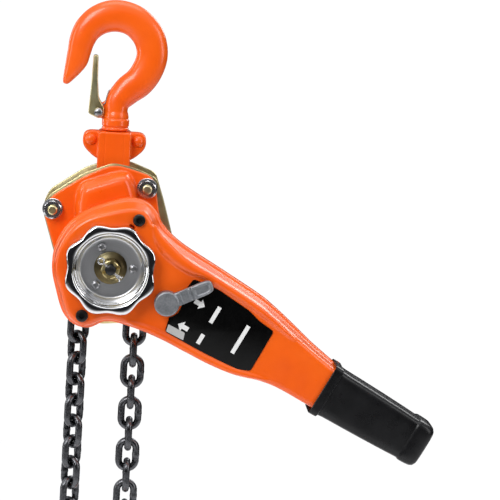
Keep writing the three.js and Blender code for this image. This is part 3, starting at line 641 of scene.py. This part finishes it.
# ---- body, as (x, z) from the hub ----
BRAKE_Y, INSIDE_Y = -19.4, -12  # where the brake cover's domes end, and where their cutters do
CASE_Y, CASE_END = 19.4, 62  # where the gear case's dome starts and ends
CASE_WALL, LEVER_WALL = 2.6, 2.6
PLATE = [(-46, 52), (-38, 62), (-6.2, 73.5), (18.8, 76.5), (33, 70), (51, 57), (52.7, 33), (53.4, 2),
         (51, -18), (48, -41), (32, -55), (0, -56), (-22, -52), (-35, -38), (-42, -15), (-44.3, 12)]
COVER = [(-45.4, 51), (-38, 60), (-9, 70.5), (14, 75), (24, 73.5), (50, 58), (47, 33), (47, 2),
         (49, -18), (46, -41), (31, -53), (0, -54), (-22, -50), (-34, -37), (-41, -15), (-43.3, 12)]
STAYS = {"left": (-37.3, 50.5), "right": (41.5, 50.5), "bottom": (37, -40)}
PIN_AT = (14.9, 61.5)
for word, y0, y1 in (("front", -19, -16), ("rear", 16, 19)):
    plate = slab("plate", rounded(PLATE, 5), y0, y1, 0.5, 0.5, 2)
    plate.name = f"side_plate_{word}_zinc"
    holes = [disc(4.3, -30, 30, *p, seg=32) for p in STAYS.values()]
    plate = minus(plate, disc(14.3, -40, 40), disc(5.3, -40, 40, *PIN_AT, seg=40), *holes)
    piece(plate, BODY, "yellow_zinc", "frame", "side_plate_" + word)


def shell(name, flange, domes, y_flange, dome_front, cuts, wall, voxel, steps):
    """Pressed cover: a flange with raised domes, hollow behind, all corners soft."""
    body = slab(name, flange, *y_flange, 0.9, 0.3)
    body = union(body, *[dome(0, dome_front) for dome in domes])
    body = minus(body, *[dome(wall, dome_front + wall) for dome in domes], *cuts)
    return melted(body, voxel, steps)


def round_dome(cut, front):
    back = INSIDE_Y if cut else BRAKE_Y
    prof = [(0, front), (34 - cut, front), (37.5 - cut, front + 0.6), (40.2 - cut, front + 2.4),
            (41.6 - cut, front + 5), (43 - cut, -22.5), (43 - cut, back), (0, back)]
    return turned("dome", prof, seg=96)


POCKET = [(-22, 18), (-20.5, 45), (-12.5, 66), (4, 67.5), (28, 69.5), (33, 58), (32, 20)]


def pocket_dome(cut, front):
    outline = inset(rounded(POCKET, 11, 8), cut)
    back = INSIDE_Y if cut else BRAKE_Y
    rings = [ring(inset(outline, d), y) for d, y in
             ((9, front), (6, front + 0.6), (3.6, front + 2.2), (1.8, front + 5), (0.6, front + 9), (0, -24),
              (0, back))]
    return loft("dome", rings)


cover = shell("brake_cover_pressing", rounded(COVER, 9), (round_dome, pocket_dome), y_flange=(-22, -19.3),
              dome_front=-36, cuts=[disc(15, -50, 0)], wall=2.4, voxel=0.75, steps=6)
piece(cover, BODY, "orange_paint", "frame", "brake_cover", angle=60)

CASE = [(-30, 32), (-16, 46), (12, 50), (28, 46), (38, 30), (41, 4), (38, -20), (24, -42), (4, -50),
        (-16, -49), (-32, -36), (-38, -14), (-38, 8)]


def case_dome(cut):
    outline = inset(curve(CASE, 8), cut)
    top = CASE_END - cut
    start = -INSIDE_Y if cut else CASE_Y
    steps = ((0, start), (0.6, 40), (1.1, top - 8), (1.8, top - 4.6), (3.2, top - 2.2), (5.6, top - 0.6),
             (8.5, top))
    return loft("dome", [ring(inset(outline, d), y) for d, y in steps])


def rib_groove(z):
    outline = [(-24, z - 1.6), (-24, z + 1.6), (26, z + 1.6), (26, z - 1.6)]
    return slab("rib", rounded(outline, 1.4), 60, 63.2, 1, 1)


case = slab("gear_case_pressing", rounded(COVER, 9), 19.3, 22, 0.3, 0.9)
case = union(case, case_dome(0))
grooves = [rib_groove(z) for z in (-20, -10, 0, 10, 20)]
case = minus(case, case_dome(CASE_WALL), disc(7.6, 10, 24, *PIN_AT, seg=40), *grooves)
piece(melted(case, voxel=0.85, steps=6), BODY, "orange_paint", "frame", "gear_case", angle=60)

STAY_TIP = [(0, -33), (2.9, -32.9), (3.4, -32.4)]
for word, (x, z) in STAYS.items():
    bolt = turned(f"stay_bolt_{word}_threaded", STAY_TIP + threaded(-32.2, -22.6, 3.85, 3.55) + [
        (3.9, -22.2), (3.9, -15.9), (5.6, -15.7), (6, -15.2), (6, 15.2), (5.6, 15.7), (3.9, 15.9),
        (3.9, 22.3), (7, 22.4), (7, 26.2), (6.2, 27), (0, 27.4)], x, z, seg=40)
    piece(bolt, BODY, "plain_steel", "frame", "stay_bolt_" + word, look="yellow_zinc")
    corners = hexagon(7.7, x, z, 12)
    nut = loft("nut", [ring(corners, -29.8), ring(corners, -23.8)])
    nut.name = f"stay_nut_{word}_hex"
    round_off = turned("cutter", [(0, -30.2), (6.1, -30.2), (8, -28.9), (8, -23.5), (0, -23.5)], x, z)
    nut = combine("INTERSECT", nut, round_off)
    washer = [(0, -22.3), (8.3, -22.3), (8.5, -22.6), (8.5, -23.4), (8.2, -23.75), (0, -23.79)]
    washer = turned("washer", washer, x, z)
    nut = minus(union(nut, washer), disc(4.15, -40, -10, x, z, seg=40))
    piece(nut, BODY, "chrome", "frame", "stay_nut_" + word, look="nut_zinc", angle=25)

# ---- hand wheel and its fastening ----
SCALLOPS, WHEEL_SEG = 8, 288
# Round the wheel's section: radius, how deep its scallops are there, y.
WHEEL = [
    (29.6, 0.3, -70.6), (33.8, 1.1, -70.6), (35.7, 1.5, -71.4), (36.3, 1.6, -73.4), (36.3, 1.6, -76.5),
    (36.25, 1.6, -79.6), (35.9, 1.55, -81.6), (35.2, 1.45, -82.5), (34, 1.2, -82.9), (32.5, 0.8, -83),
    (31.2, 0.4, -82.9), (30.3, 0.15, -82.5), (29.7, 0.04, -81.4), (29.3, 0, -79), (28.7, 0, -77),
    (27.6, 0, -76.5), (27.1, 0, -75.6), (26.7, 0, -73), (25.9, 0, -69.9), (24.9, 0, -68.2), (23.4, 0, -67.6),
    (18, 0, -67.5), (12, 0, -67.5), (9.8, 0, -67.4), (9.3, 0, -66.6), (9.3, 0, -64.7), (12, 0, -64.5),
    (22, 0, -64.5), (26, 0, -64.7), (27.6, 0, -66), (28.4, 0, -69),
]
rings = []
for r, depth, y in curve(WHEEL, 3):
    pts = []
    for i in range(WHEEL_SEG):
        a = 2 * math.pi * i / WHEEL_SEG
        rr = r - max(depth, 0) * math.cos(SCALLOPS * a)
        pts.append((rr * math.cos(a), y, rr * math.sin(a)))
    rings.append(pts)
wheel = loft("hand_wheel_chromed", rings, loop=True)
piece(wheel, AT_HUB, "chrome", "drive", "handwheel", look="wheel_chrome", angle=70)

cam = turned("cam_plate_with_pins", [(9.2, -64.2), (22.6, -64.2), (23, -63.8), (23, -61.7), (22.6, -61.3),
                                     (9.2, -61.3)], loop=True)
CAM_PIN = [(0, -70.3), (1.2, -70.35), (2.4, -70.1), (3.2, -69.4), (3.5, -68.5), (3.4, -67.8), (2.3, -67.7),
           (2.3, -62), (0, -62)]
CAM_PIN_AT = 18.2  # the pins' distance from the axis
pins = []
for degrees in (0, 115, 233):
    px = CAM_PIN_AT * math.cos(math.radians(degrees))
    pz = CAM_PIN_AT * math.sin(math.radians(degrees))
    pin = turned("pin", CAM_PIN, px, pz, seg=36)
    across = box(px - 2.6, px + 2.6, -71, -70, pz - 0.3, pz + 0.3)
    upright = box(px - 0.3, px + 0.3, -71, -70, pz - 2.6, pz + 2.6)
    pins.append(minus(pin, across, upright))
piece(union(cam, *pins), AT_HUB, "plain_steel", "drive", "cam_plate")
DISH = [(4.6, -67.65), (8, -67.8), (12.6, -67.75), (13.3, -68.3), (13.1, -69.2), (11.6, -69.7),
        (10.4, -70.1), (9, -71), (7.6, -71.35), (4.6, -71.4)]
dish = turned("spring_cover_dish", DISH, loop=True)
piece(dish, AT_HUB, "yellow_zinc", "drive", "spring_cover", look="old_brass")

COTTER_TURN, COTTER_Y = math.radians(40), -76.6
corners = hexagon(8.3, turn=10)
nut = loft("castle_nut_slotted", [ring(corners, -74), ring(corners, -71.7)])
nut = union(nut, turned("crown", [(0, -78.2), (6.6, -78.2), (7.2, -77.8), (7.4, -77), (7.4, -71.8),
                                  (0, -71.8)]))
for i in range(3):
    slot = box(-12, 12, -90, -73.9, -1.6, 1.6)
    slot.data.transform(Matrix.Rotation(COTTER_TURN + math.radians(60 * i), 4, "Y"))
    nut = minus(nut, slot)
piece(minus(nut, disc(4.45, -90, 0, seg=40)), AT_HUB, "yellow_zinc", "drive", "castle_nut", angle=25)

SHAFT_TIP = [(0, -80.4), (3, -80.3), (3.7, -79.8)]
SHAFT_BODY = [(4.2, -62), (6, -61.5), (6, -40), (0, -40)]
shaft = turned("pinion_shaft_front", SHAFT_TIP + threaded(-79.6, -64, 4.2, 3.85) + SHAFT_BODY, seg=48)
at_cotter = Matrix.Translation((0, COTTER_Y, 0))
cross = disc(1.7, -8, 8, seg=24)
cross.data.transform(at_cotter @ Matrix.Rotation(COTTER_TURN, 4, "Y") @ Matrix.Rotation(math.pi / 2, 4, "Z"))
rear = turned("rear", [(0, -41), (6, -41), (6, 46), (5.6, 46.4), (0, 46.4)], seg=48)
TEETH = 12
teeth = []
for i in range(TEETH):
    for t, r in ((-0.5, 6.0), (-0.28, 7.2), (-0.13, 8.35), (0.13, 8.35), (0.28, 7.2)):
        a = 2 * math.pi * (i + t) / TEETH + math.radians(75)
        teeth.append((r * math.cos(a), r * math.sin(a)))
toothed = loft("teeth", [ring(teeth, 31.6), ring(teeth, 38.4)])
toothed.data.transform(Matrix.Rotation(TILT, 4, "Y"))
shaft = union(minus(shaft, cross), rear, toothed)
piece(shaft, AT_HUB, "plain_steel", "drive", "pinion_shaft", look="black_steel")

COTTER = [(-11.6, -1.4, 1.9), (-9.2, -0.4, 0.75), (4, 0, 0.75), (7.4, 0, 0.85), (8.6, 0, 1.9),
          (10.2, 0, 2.4), (11.8, 0, 1.5), (12.4, 0, 0), (11.8, 0, -1.5), (10.2, 0, -2.4), (8.6, 0, -1.9),
          (7.4, 0, -0.85), (4, 0, -0.75), (-9, -0.4, -0.75), (-10.8, -1.4, -2)]
cotter = wire("split_pin_folded", curve(COTTER, 5, closed=False), 0.72, 14)
cotter.data.transform(at_cotter @ Matrix.Rotation(COTTER_TURN + math.pi, 4, "Y"))
piece(cotter, AT_HUB, "plain_steel", "drive", "split_pin", look="nut_zinc")

# ---- lever, as (u, v) from the hub along and across it ----
# BASE is its outline at the joint between its halves, FACE the outline of its front.
BASE = [(-14, 54), (0, 58), (12, 54.5), (22, 48.5), (42, 43.5), (82, 41.5), (118, 39.5), (134, 37),
        (154, 32.5), (176, 27), (199, 22.6), (204.4, 21.2), (204.4, -17.6), (199, -18.4), (168, -18.6),
        (152, -22.5), (134, -28), (112, -31), (90, -32), (66, -33), (43, -36), (22, -42), (12, -54), (0, -58),
        (-13, -54), (-27, -41), (-39, -27), (-46, -10), (-46, 10), (-39, 27), (-27, 42)]
FACE = [(-11, 50), (0, 53.5), (9, 50), (19, 43.5), (40, 39), (82, 37.5), (118, 35.5), (134, 33), (153, 29),
        (176, 24.5), (198, 20.8), (204.4, 19.8), (204.4, -16.2), (198, -16.6), (168, -16.8), (151, -19.5),
        (133, -24.8), (112, -28), (90, -29), (66, -29.5), (43, -32), (20, -38), (9, -50), (0, -53.5),
        (-11, -50), (-25, -37), (-37, -25), (-43.4, -10), (-43.4, 10), (-37, 25), (-25, 38)]
# Stations along the raised beads: u, v, half width, height.
BEADS = (
    [(12, 47.5, 1.5, 0.3), (20, 41, 4, 1.3), (30, 36.5, 5.5, 1.7), (42, 33.5, 5.5, 1.8),
     (56, 32.5, 4.8, 1.8), (68, 33.6, 3.6, 1.7), (90, 33.4, 3.2, 1.6), (118, 31.8, 3.1, 1.6),
     (136, 29.2, 2.8, 1.4), (150, 26.6, 2, 0.9), (160, 25, 1, 0.2)],
    [(34, -30.5, 1.2, 0.2), (44, -28.8, 2.6, 1.2), (58, -26.6, 3, 1.6), (82, -25.6, 3, 1.6),
     (104, -25, 3, 1.6), (124, -23, 2.9, 1.5), (140, -19.2, 2.4, 1.2), (150, -16.4, 1.6, 0.7),
     (157, -14.6, 0.8, 0.2)],
)
base, face = curve(BASE, 8), curve(FACE, 8)
SCREWS = {"upper": (0, 45), "lower": (0, -45)}
SELECTOR = (53.0, -1.0)


def between(k):
    """The outline a share k of the way from BASE to FACE."""
    return [(a[0] + (b[0] - a[0]) * k, a[1] + (b[1] - a[1]) * k) for a, b in zip(base, face)]


def pan(name, cut, back):
    """The front half of the lever, or with a cut the hollow inside it."""
    if cut:
        rows = [(face, cut, back), (face, cut, -60), (face, cut + 1.5, -69 + cut)]
        return loft(name, [ring(inset(o, d), y) for o, d, y in rows])
    rows = [(base, 0.3, -46.1), (base, 0, -46.5), (base, 0, -49), (base, 0.4, -49.7),
            (between(0.25), 0.6, -50.3), (between(0.45), 0.4, -51.4),
            (between(0.62), 0.1, -54), (between(0.85), 0, -60), (face, 0, -64.2), (face, 0.35, -66),
            (face, 1.1, -67.5),
            (face, 2.3, -68.5), (face, 3.8, -68.95), (face, 5, -69)]
    return loft(name, [ring(inset(o, d), y) for o, d, y in rows])


def bead(stations):
    """A raised ridge pressed into the lever's face."""
    line = curve(stations, 5, closed=False)
    turns = [2 * math.pi * k / 24 for k in range(24)]
    rings = []
    for i, (u, v, w, h) in enumerate(line):
        p, q = line[max(i - 1, 0)], line[min(i + 1, len(line) - 1)]
        t = Vector((q[0] - p[0], q[1] - p[1])).normalized()
        tall = 1.35 * h + 0.6
        rings.append([(u - t.y * w * math.cos(a), -68.4 + tall * math.sin(a), v + t.x * w * math.cos(a))
                      for a in turns])
    return loft("bead", rings)


front = union(pan("lever_front_pressing", 0, 0), *[bead(b) for b in BEADS])
front = minus(front, pan("cutter", LEVER_WALL, -40), disc(30, -90, -40, seg=96),
              disc(6.3, -90, -60, *SELECTOR))
for u, v in SCREWS.values():
    front = union(front, turned("boss", [(0, -68), (6, -68), (6, -46.3), (0, -46.3)], u, v, seg=40))
    front = minus(front, disc(3.3, -90, -30, u, v, seg=40))
DRAIN = rounded([(-4.6, 34.6), (-4.6, 38.6), (0.6, 38.6), (0.6, 34.6)], 0.6, 2)
front = minus(front, slab("cutter", DRAIN, -72, -60, 0.1, 0.1))
piece(melted(front, voxel=0.8, steps=3), LEVER, "orange_paint", "lever", "lever_front", angle=60)

rear = loft("lever_rear_pressing", [ring(inset(o, d), y) for o, d, y in
            ((base, 0.3, -45.6), (base, 0, -45.2), (base, 0, -40.2), (base, 0.5, -39), (base, 1.4, -38.3),
             (base, 2.6, -38))])
hollow = loft("cutter", [ring(inset(face, LEVER_WALL), -60), ring(inset(face, LEVER_WALL), -41.6),
                         ring(inset(face, LEVER_WALL + 1), -40.6)])
rear = minus(rear, hollow, disc(14.2, -80, 0), disc(4.3, -80, 0, *SELECTOR))
for u, v in SCREWS.values():
    rear = union(rear, turned("boss", [(0, -45.6), (6, -45.6), (6, -38.1), (0, -38.1)], u, v, seg=40))
    rear = minus(rear, disc(3.3, -90, -30, u, v, seg=40))
piece(rear, LEVER, "orange_paint", "lever", "lever_rear", angle=32)

SCREW = [(0, -72.4), (3.2, -72.4), (4.2, -72.1), (4.8, -71.4), (5, -70.6), (5, -69.2), (3, -69.2),
         (3, -38.3), (0, -38.2)]
for word, (u, v) in SCREWS.items():
    screw = turned(f"lever_screw_{word}_cap", SCREW, u, v, seg=40)
    key = hexagon(2.6, u, v)
    screw = minus(screw, loft("cutter", [ring(key, -75), ring(key, -70)]))
    piece(screw, LEVER, "black_steel", "lever", "lever_screw_" + word, angle=25)

LABEL = [(64, -22.3), (60, -6), (60, 8), (62, 26.5), (84, 29.2), (114, 27), (126, 23.8), (140, 22.5),
         (140.5, -15), (131, -19), (120, -20), (100, -21.4)]
INK_Y = (-69.86, -69.72)  # the printing, which sinks a little into the film behind it
label = slab("lever_label_film", rounded(LABEL, 2.5), -69.75, -69.2, 0.15, 0.1, 2)
label = minus(label, disc(12.5, -80, -60, *SELECTOR))
piece(label, LEVER, "black_label", "lever", "lever_label")


def arrow(u, v, turn):
    length, wide, shaft_half, head = 9.5, 9.0, 1.9, 0.3
    c, s = math.cos(math.radians(turn)), math.sin(math.radians(turn))
    shape = [(-length / 2, -shaft_half), (head, -shaft_half), (head, -wide / 2), (length / 2, 0),
             (head, wide / 2),
             (head, shaft_half), (-length / 2, shaft_half)]
    return [(u + a * c - b * s, v + a * s + b * c) for a, b in shape]


marks = {"label_arrow_down": arrow(76.6, 11.5, 0), "label_arrow_up": arrow(74.7, -11.4, 180)}
for i, (u, v, w) in enumerate(((92, 10, 15), (92, -13, 9), (120, 3, 26))):
    marks[f"label_bar_{i}"] = [(u - 1.7, v - w / 2), (u + 1.7, v - w / 2), (u + 1.7, v + w / 2),
                               (u - 1.7, v + w / 2)]


def printed(name, outline, look):
    piece(slab(name, outline, *INK_Y, 0.04, 0.04, 1), LEVER, "black_label", "lever", look=look)


for word, outline in marks.items():
    printed(word, outline, "white_ink")
printed("label_patch_0", rounded([(64.8, -21.6), (63.4, -15.6), (78.5, -15), (80.5, -21)], 1), "silver_ink")


def grip_section(u, top, bottom, front, back, power):
    """A rectangle with rounded corners, squarer as power goes to nought."""
    cv, cy = (top + bottom) / 2, (front + back) / 2
    hv, hy = (top - bottom) / 2, (back - front) / 2
    pts = []
    for k in range(96):
        a = 2 * math.pi * k / 96
        c, s = math.cos(a), math.sin(a)
        pts.append((u, cy + hy * math.copysign(abs(s) ** power, s),
                    cv + hv * math.copysign(abs(c) ** power, c)))
    return pts


def side_lines(u):
    """The grip's upper and lower edges, which draw together towards its end."""
    k = (u - 199) / 100
    return 24.3 - 3.9 * k, -21.3 + 2.9 * k


# Along the grip: u, how far it is drawn in there, and its section's power.
PROFILE = [(199.2, 0.5, 0.2), (199.6, 0.1, 0.2), (203, 0, 0.2), (206, 0, 0.2), (206.6, 0.5, 0.22),
           (207.2, 1.5, 0.26), (212, 1.7, 0.3), (230, 1.5, 0.3), (250, 1.4, 0.3), (270, 1.5, 0.3),
           (282, 1.7, 0.3), (283, 1.1, 0.3), (284.4, 0.6, 0.32), (290, 0.5, 0.34), (294, 0.7, 0.36),
           (296.6, 1.6, 0.38), (298.2, 3.3, 0.4), (299, 6, 0.42)]
rows = []
for u, d, power in PROFILE:
    top, bottom = side_lines(u)
    rows.append(grip_section(u, top - d, bottom + d, -71.4 + d, -35.6 - d, power))
grip = loft("grip_moulding", rows)
SOCKET = [(190, 24), (199, 22.7), (204.9, 21.7), (204.9, -18), (199, -18.6), (190, -19.2)]
grip = minus(grip, loft("cutter", [ring(SOCKET, -69.5), ring(SOCKET, -37.5)]))
piece(grip, LEVER, "black_rubber", "lever", "grip", angle=30)

ARM = rounded([(-3, 7.2), (12, 5.4), (34, 5.8), (39.8, 4), (39.8, -4), (34, -5.8), (12, -5.4), (-3, -7.2)], 5)
SUNK = rounded([(24.6, 3.6), (34.5, 3.8), (37.4, 2.4), (37.4, -2.4), (34.5, -3.8), (24.6, -3.6)], 2)
ARM_TURN = math.radians(53)
arm = slab("selector_lever_casting", ARM, -78, -73.4, 1.6, 0.6)
sunk = slab("sunk_face", SUNK, -80, -77.1)
arm = minus(arm, sunk, box(12.6, 19.6, -80, -77, -9, 9), box(21.2, 22.6, -80, -77, -9, 9))
arm.data.transform(Matrix.Rotation(-ARM_TURN, 4, "Y"))
BOSS = [(0, -79), (8.6, -79), (9.7, -78.5), (10.2, -77.4), (10.2, -71.2), (9.8, -70.4), (5.9, -70.4),
        (5.9, -62.4), (4, -62.2), (4, -36.7), (0, -36.6)]
selector = union(arm, turned("boss", BOSS, seg=72))
selector.data.transform(Matrix.Translation((SELECTOR[0], 0, SELECTOR[1])))
piece(melted(selector, voxel=0.34, steps=1), LEVER, "cast_zinc", "selector", "selector_lever", angle=50)

# ---- chain ----
def link_mesh(name, share):
    """A link whose wire is a share of the chain's own, with its weld on one side."""
    bend = (CHAIN_W - CHAIN_D) / 2
    half = (PITCH + CHAIN_D) / 2 - bend
    path = []
    for sign in (1, -1):
        for i in range(21):
            a = math.pi * i / 20
            c, s = sign * math.cos(a), sign * math.sin(a)
            path.append((bend * c, sign * half + bend * s, c, s))
        for i in range(1, 8):
            z = half - 2 * half * i / 8
            path.append((-sign * bend, sign * z, -sign, 0))
    rings = []
    for x, z, nx, nz in path:
        weld = 0.25 * math.exp(-(z / 1.3) ** 2) if x > bend * 0.9 else 0.0
        r = CHAIN_D / 2 * share + weld
        turns = [2 * math.pi * k / 20 for k in range(20)]
        rings.append([(x + nx * r * math.cos(w), r * math.sin(w), z + nz * r * math.cos(w)) for w in turns])
    ob = loft(name, rings, loop=True)
    ob.data.transform(MM)
    ob.data.materials.append(LOOK["dark_chain"])
    ob.data.shade_smooth()
    return ob


LINK_DATA = link_mesh("link_pattern", 0.985).data
SLIM_DATA = link_mesh("slim_link_pattern", 0.9).data  # for the links that pass close to the sheave
for pattern in [ob for ob in bpy.data.objects if ob.data in (LINK_DATA, SLIM_DATA)]:
    bpy.data.objects.remove(pattern)


def link(name, matrix, body, node=None):
    """One link, sharing its mesh with the others, at a matrix in millimetres."""
    ob = bpy.data.objects.new(name, SLIM_DATA if body == "slack_upper" else LINK_DATA)
    bpy.context.scene.collection.objects.link(ob)
    rot = matrix.to_3x3().to_4x4()
    ob.matrix_world = Matrix.Translation(matrix.to_translation() * 0.001) @ rot
    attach(ob, body)
    if node:
        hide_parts(node)


def hanging(prefix, x, first, last, twist, body, node, lift=0.0):
    for i in range(first, last):
        place = AT_HUB @ Matrix.Translation((x, 0, -PITCH * (i + 0.5) + lift))
        turn = Matrix.Rotation(math.radians(twist(i)), 4, "Z")
        link(f"{prefix}_{i}", place @ turn, body, node if i == first else None)


def load_twist(i):
    """Every second link lies across its neighbours."""
    return 0 if i % 2 else 90


def slack_twist(i):
    """The slack strand winds 15 degrees a link until it has turned by 45."""
    return load_twist(i) + 15 * min(max(i - 1, 0), 3)


hanging("load_link", NODE_R, 1, 3, load_twist, "load_upper", "load_chain_upper")
hanging("load_link", NODE_R, 3, LINKS, load_twist, "load_hang", "load_chain", LINK_LIFT)
hanging("slack_link", -NODE_R, 1, 2, slack_twist, "slack_upper", "slack_chain_upper")
# This link passes beside the sheave at its limit, so it hangs a little further out and down.
CLEAR_OUT, CLEAR_DOWN = 0.9, 0.3
hanging("slack_link", -NODE_R - CLEAR_OUT, 2, 3, slack_twist, "slack_upper", None, -CLEAR_DOWN)
hanging("slack_link", -NODE_R, 3, LINKS, slack_twist, "slack_hang", "slack_chain", LINK_LIFT)
for i in range(4):
    angle = math.radians(22.5 + 45 * i)
    r = NODE_R * math.cos(math.pi / 8)
    place = AT_HUB @ Matrix.Translation((r * math.cos(angle), 0, r * math.sin(angle)))
    turn = Matrix.Rotation(-angle, 4, "Y") @ Matrix.Rotation(math.pi / 2 * (i % 2), 4, "Z")
    link(f"sheave_link_{i}", place @ turn, "sheave", "chain_over_sheave" if i == 0 else None)

ring_place = AT_HUB @ Matrix.Translation((-NODE_R, 0, -LINKS * PITCH - 7.4))
ring_turn = Matrix.Rotation(math.radians(slack_twist(LINKS - 1) + 90), 4, "Z")
end_ring = torus("slack_end_ring", 11.5, 2, 72, 20)
piece(end_ring, ring_place @ ring_turn, "plain_steel", "slack_hang", "chain_end_ring")

CHAIN_PIN = [(0, -18), (4.2, -17.9), (5, -17.2), (5, -14.8), (3, -14.7), (3, 14.7), (5, 14.8), (5, 17.2),
             (4.2, 18), (0, 18.2)]
TOP_PIN = [(0, -21.5), (6.2, -21.4), (7, -20.8), (7, -19.3), (5, -19.2), (5, 19.2), (7, 19.3), (7, 20.8),
           (6.2, 21.4), (0, 21.5)]
chain_pin = turned("chain_pin_headed", CHAIN_PIN, 0, -121.5, seg=40)
piece(chain_pin, FOOT, "plain_steel", "load_hang", "chain_pin")
top_pin = turned("top_pin_headed", TOP_PIN, *PIN_AT, seg=40)
piece(top_pin, BODY, "plain_steel", "frame", "top_pin")

# ---- floor, lights and camera, in metres ----
FLOOR_Z, FLOOR_R = -0.66, 1.6
CENTRE = Vector((0.1, 0, -0.17))  # what the lights are aimed at
FADE = (0.9, 1.55)  # the floor fades out between these distances from the origin


def floor_paint():
    pale = (0.93, 0.93, 0.93)
    m, t, b = material("pale_stage", pale, 0, 0.9, 0, 0.2)
    tint(t, b, noise(t, 3, 2), [(0.2, tuple(c * 0.985 for c in pale)), (0.8, pale)])
    spread = t.nodes.new("ShaderNodeVectorMath")
    spread.operation = "LENGTH"
    t.links.new(coords(t), spread.inputs[0])
    t.links.new(span(t, spread.outputs["Value"], 1, 0, *FADE), b.inputs["Alpha"])
    return m


around = [math.radians(5 * i) for i in range(72)]
stage = bpy.data.meshes.new("pale_floor")
stage.from_pydata([(FLOOR_R * math.cos(a), FLOOR_R * math.sin(a), FLOOR_Z) for a in around], [],
                  [list(range(72))])
stage.materials.append(floor_paint())
floor = bpy.data.objects.new("pale_floor", stage)
bpy.context.scene.collection.objects.link(floor)


def softbox(name, place, size, power):
    data = bpy.data.lights.new(name, "AREA")
    data.shape, data.size, data.size_y = "RECTANGLE", *size
    data.energy = power
    ob = bpy.data.objects.new(name, data)
    bpy.context.scene.collection.objects.link(ob)
    ob.location = place
    ob.rotation_euler = (CENTRE - Vector(place)).to_track_quat("-Z", "Y").to_euler()


# Each light's place, its width and height, and its watts.
softbox("key_softbox", (-0.75, -1.25, 0.75), (0.6, 0.8), 15)
softbox("fill_softbox", (1.4, -0.9, 0.25), (0.5, 1.3), 8)
softbox("top_softbox", (0.1, -0.2, 1.3), (1.4, 0.9), 9)
softbox("left_strip", (-1.3, -0.35, 0.0), (0.25, 1.2), 5)
softbox("back_softbox", (1.0, 1.3, 0.7), (0.7, 0.9), 9)
softbox("back_fill_softbox", (-1.2, 1.0, 0.1), (0.5, 1.1), 5)

world = bpy.data.worlds.new("soft_studio")
world.use_nodes = True
wt = world.node_tree
direction = wt.nodes.new("ShaderNodeTexCoord").outputs["Generated"]
split = wt.nodes.new("ShaderNodeSeparateXYZ")
wt.links.new(direction, split.inputs["Vector"])
sky = ramp(wt, span(wt, split.outputs["Z"], 0, 1, -1, 1), [
    (0.0, (0.5, 0.5, 0.5)), (0.32, (0.3, 0.3, 0.3)), (0.4, (0.02, 0.02, 0.022)),
    (0.62, (0.022, 0.023, 0.026)), (0.72, (0.5, 0.51, 0.53)), (1.0, (0.95, 0.96, 1.0))])
# White behind the object, and dark near the horizon for the chrome to reflect.
seen = wt.nodes.new("ShaderNodeLightPath").outputs["Is Camera Ray"]
wt.links.new(mix(wt, seen, sky, (1.3, 1.3, 1.3)), wt.nodes["Background"].inputs["Color"])
wt.nodes["Background"].inputs["Strength"].default_value = 0.8
bpy.context.scene.world = world

AZ, EL, ROLL = math.radians(-4.2), math.radians(9.0), math.radians(3.8)
DISTANCE = 1.75
VIEW_WIDTH = 0.5 / 1.224  # metres across the picture at the target
SENSOR = 36
cam_data = bpy.data.cameras.new("camera")
cam_data.sensor_width = SENSOR
cam_data.lens = SENSOR * DISTANCE / VIEW_WIDTH
cam = bpy.data.objects.new("camera", cam_data)
bpy.context.scene.collection.objects.link(cam)
bpy.context.scene.camera = cam
TARGET = Vector((0.115, -0.04, -0.1680))
back = Vector((math.sin(AZ) * math.cos(EL), -math.cos(AZ) * math.cos(EL), math.sin(EL)))
cam.location = TARGET + back * DISTANCE
aim = (-back).to_track_quat("-Z", "Y").to_matrix().to_4x4()
cam.rotation_euler = (aim @ Matrix.Rotation(ROLL, 4, "Z")).to_euler()
cam_data.clip_start, cam_data.clip_end = 0.05, 20
bpy.context.scene.view_settings.view_transform = "Standard"
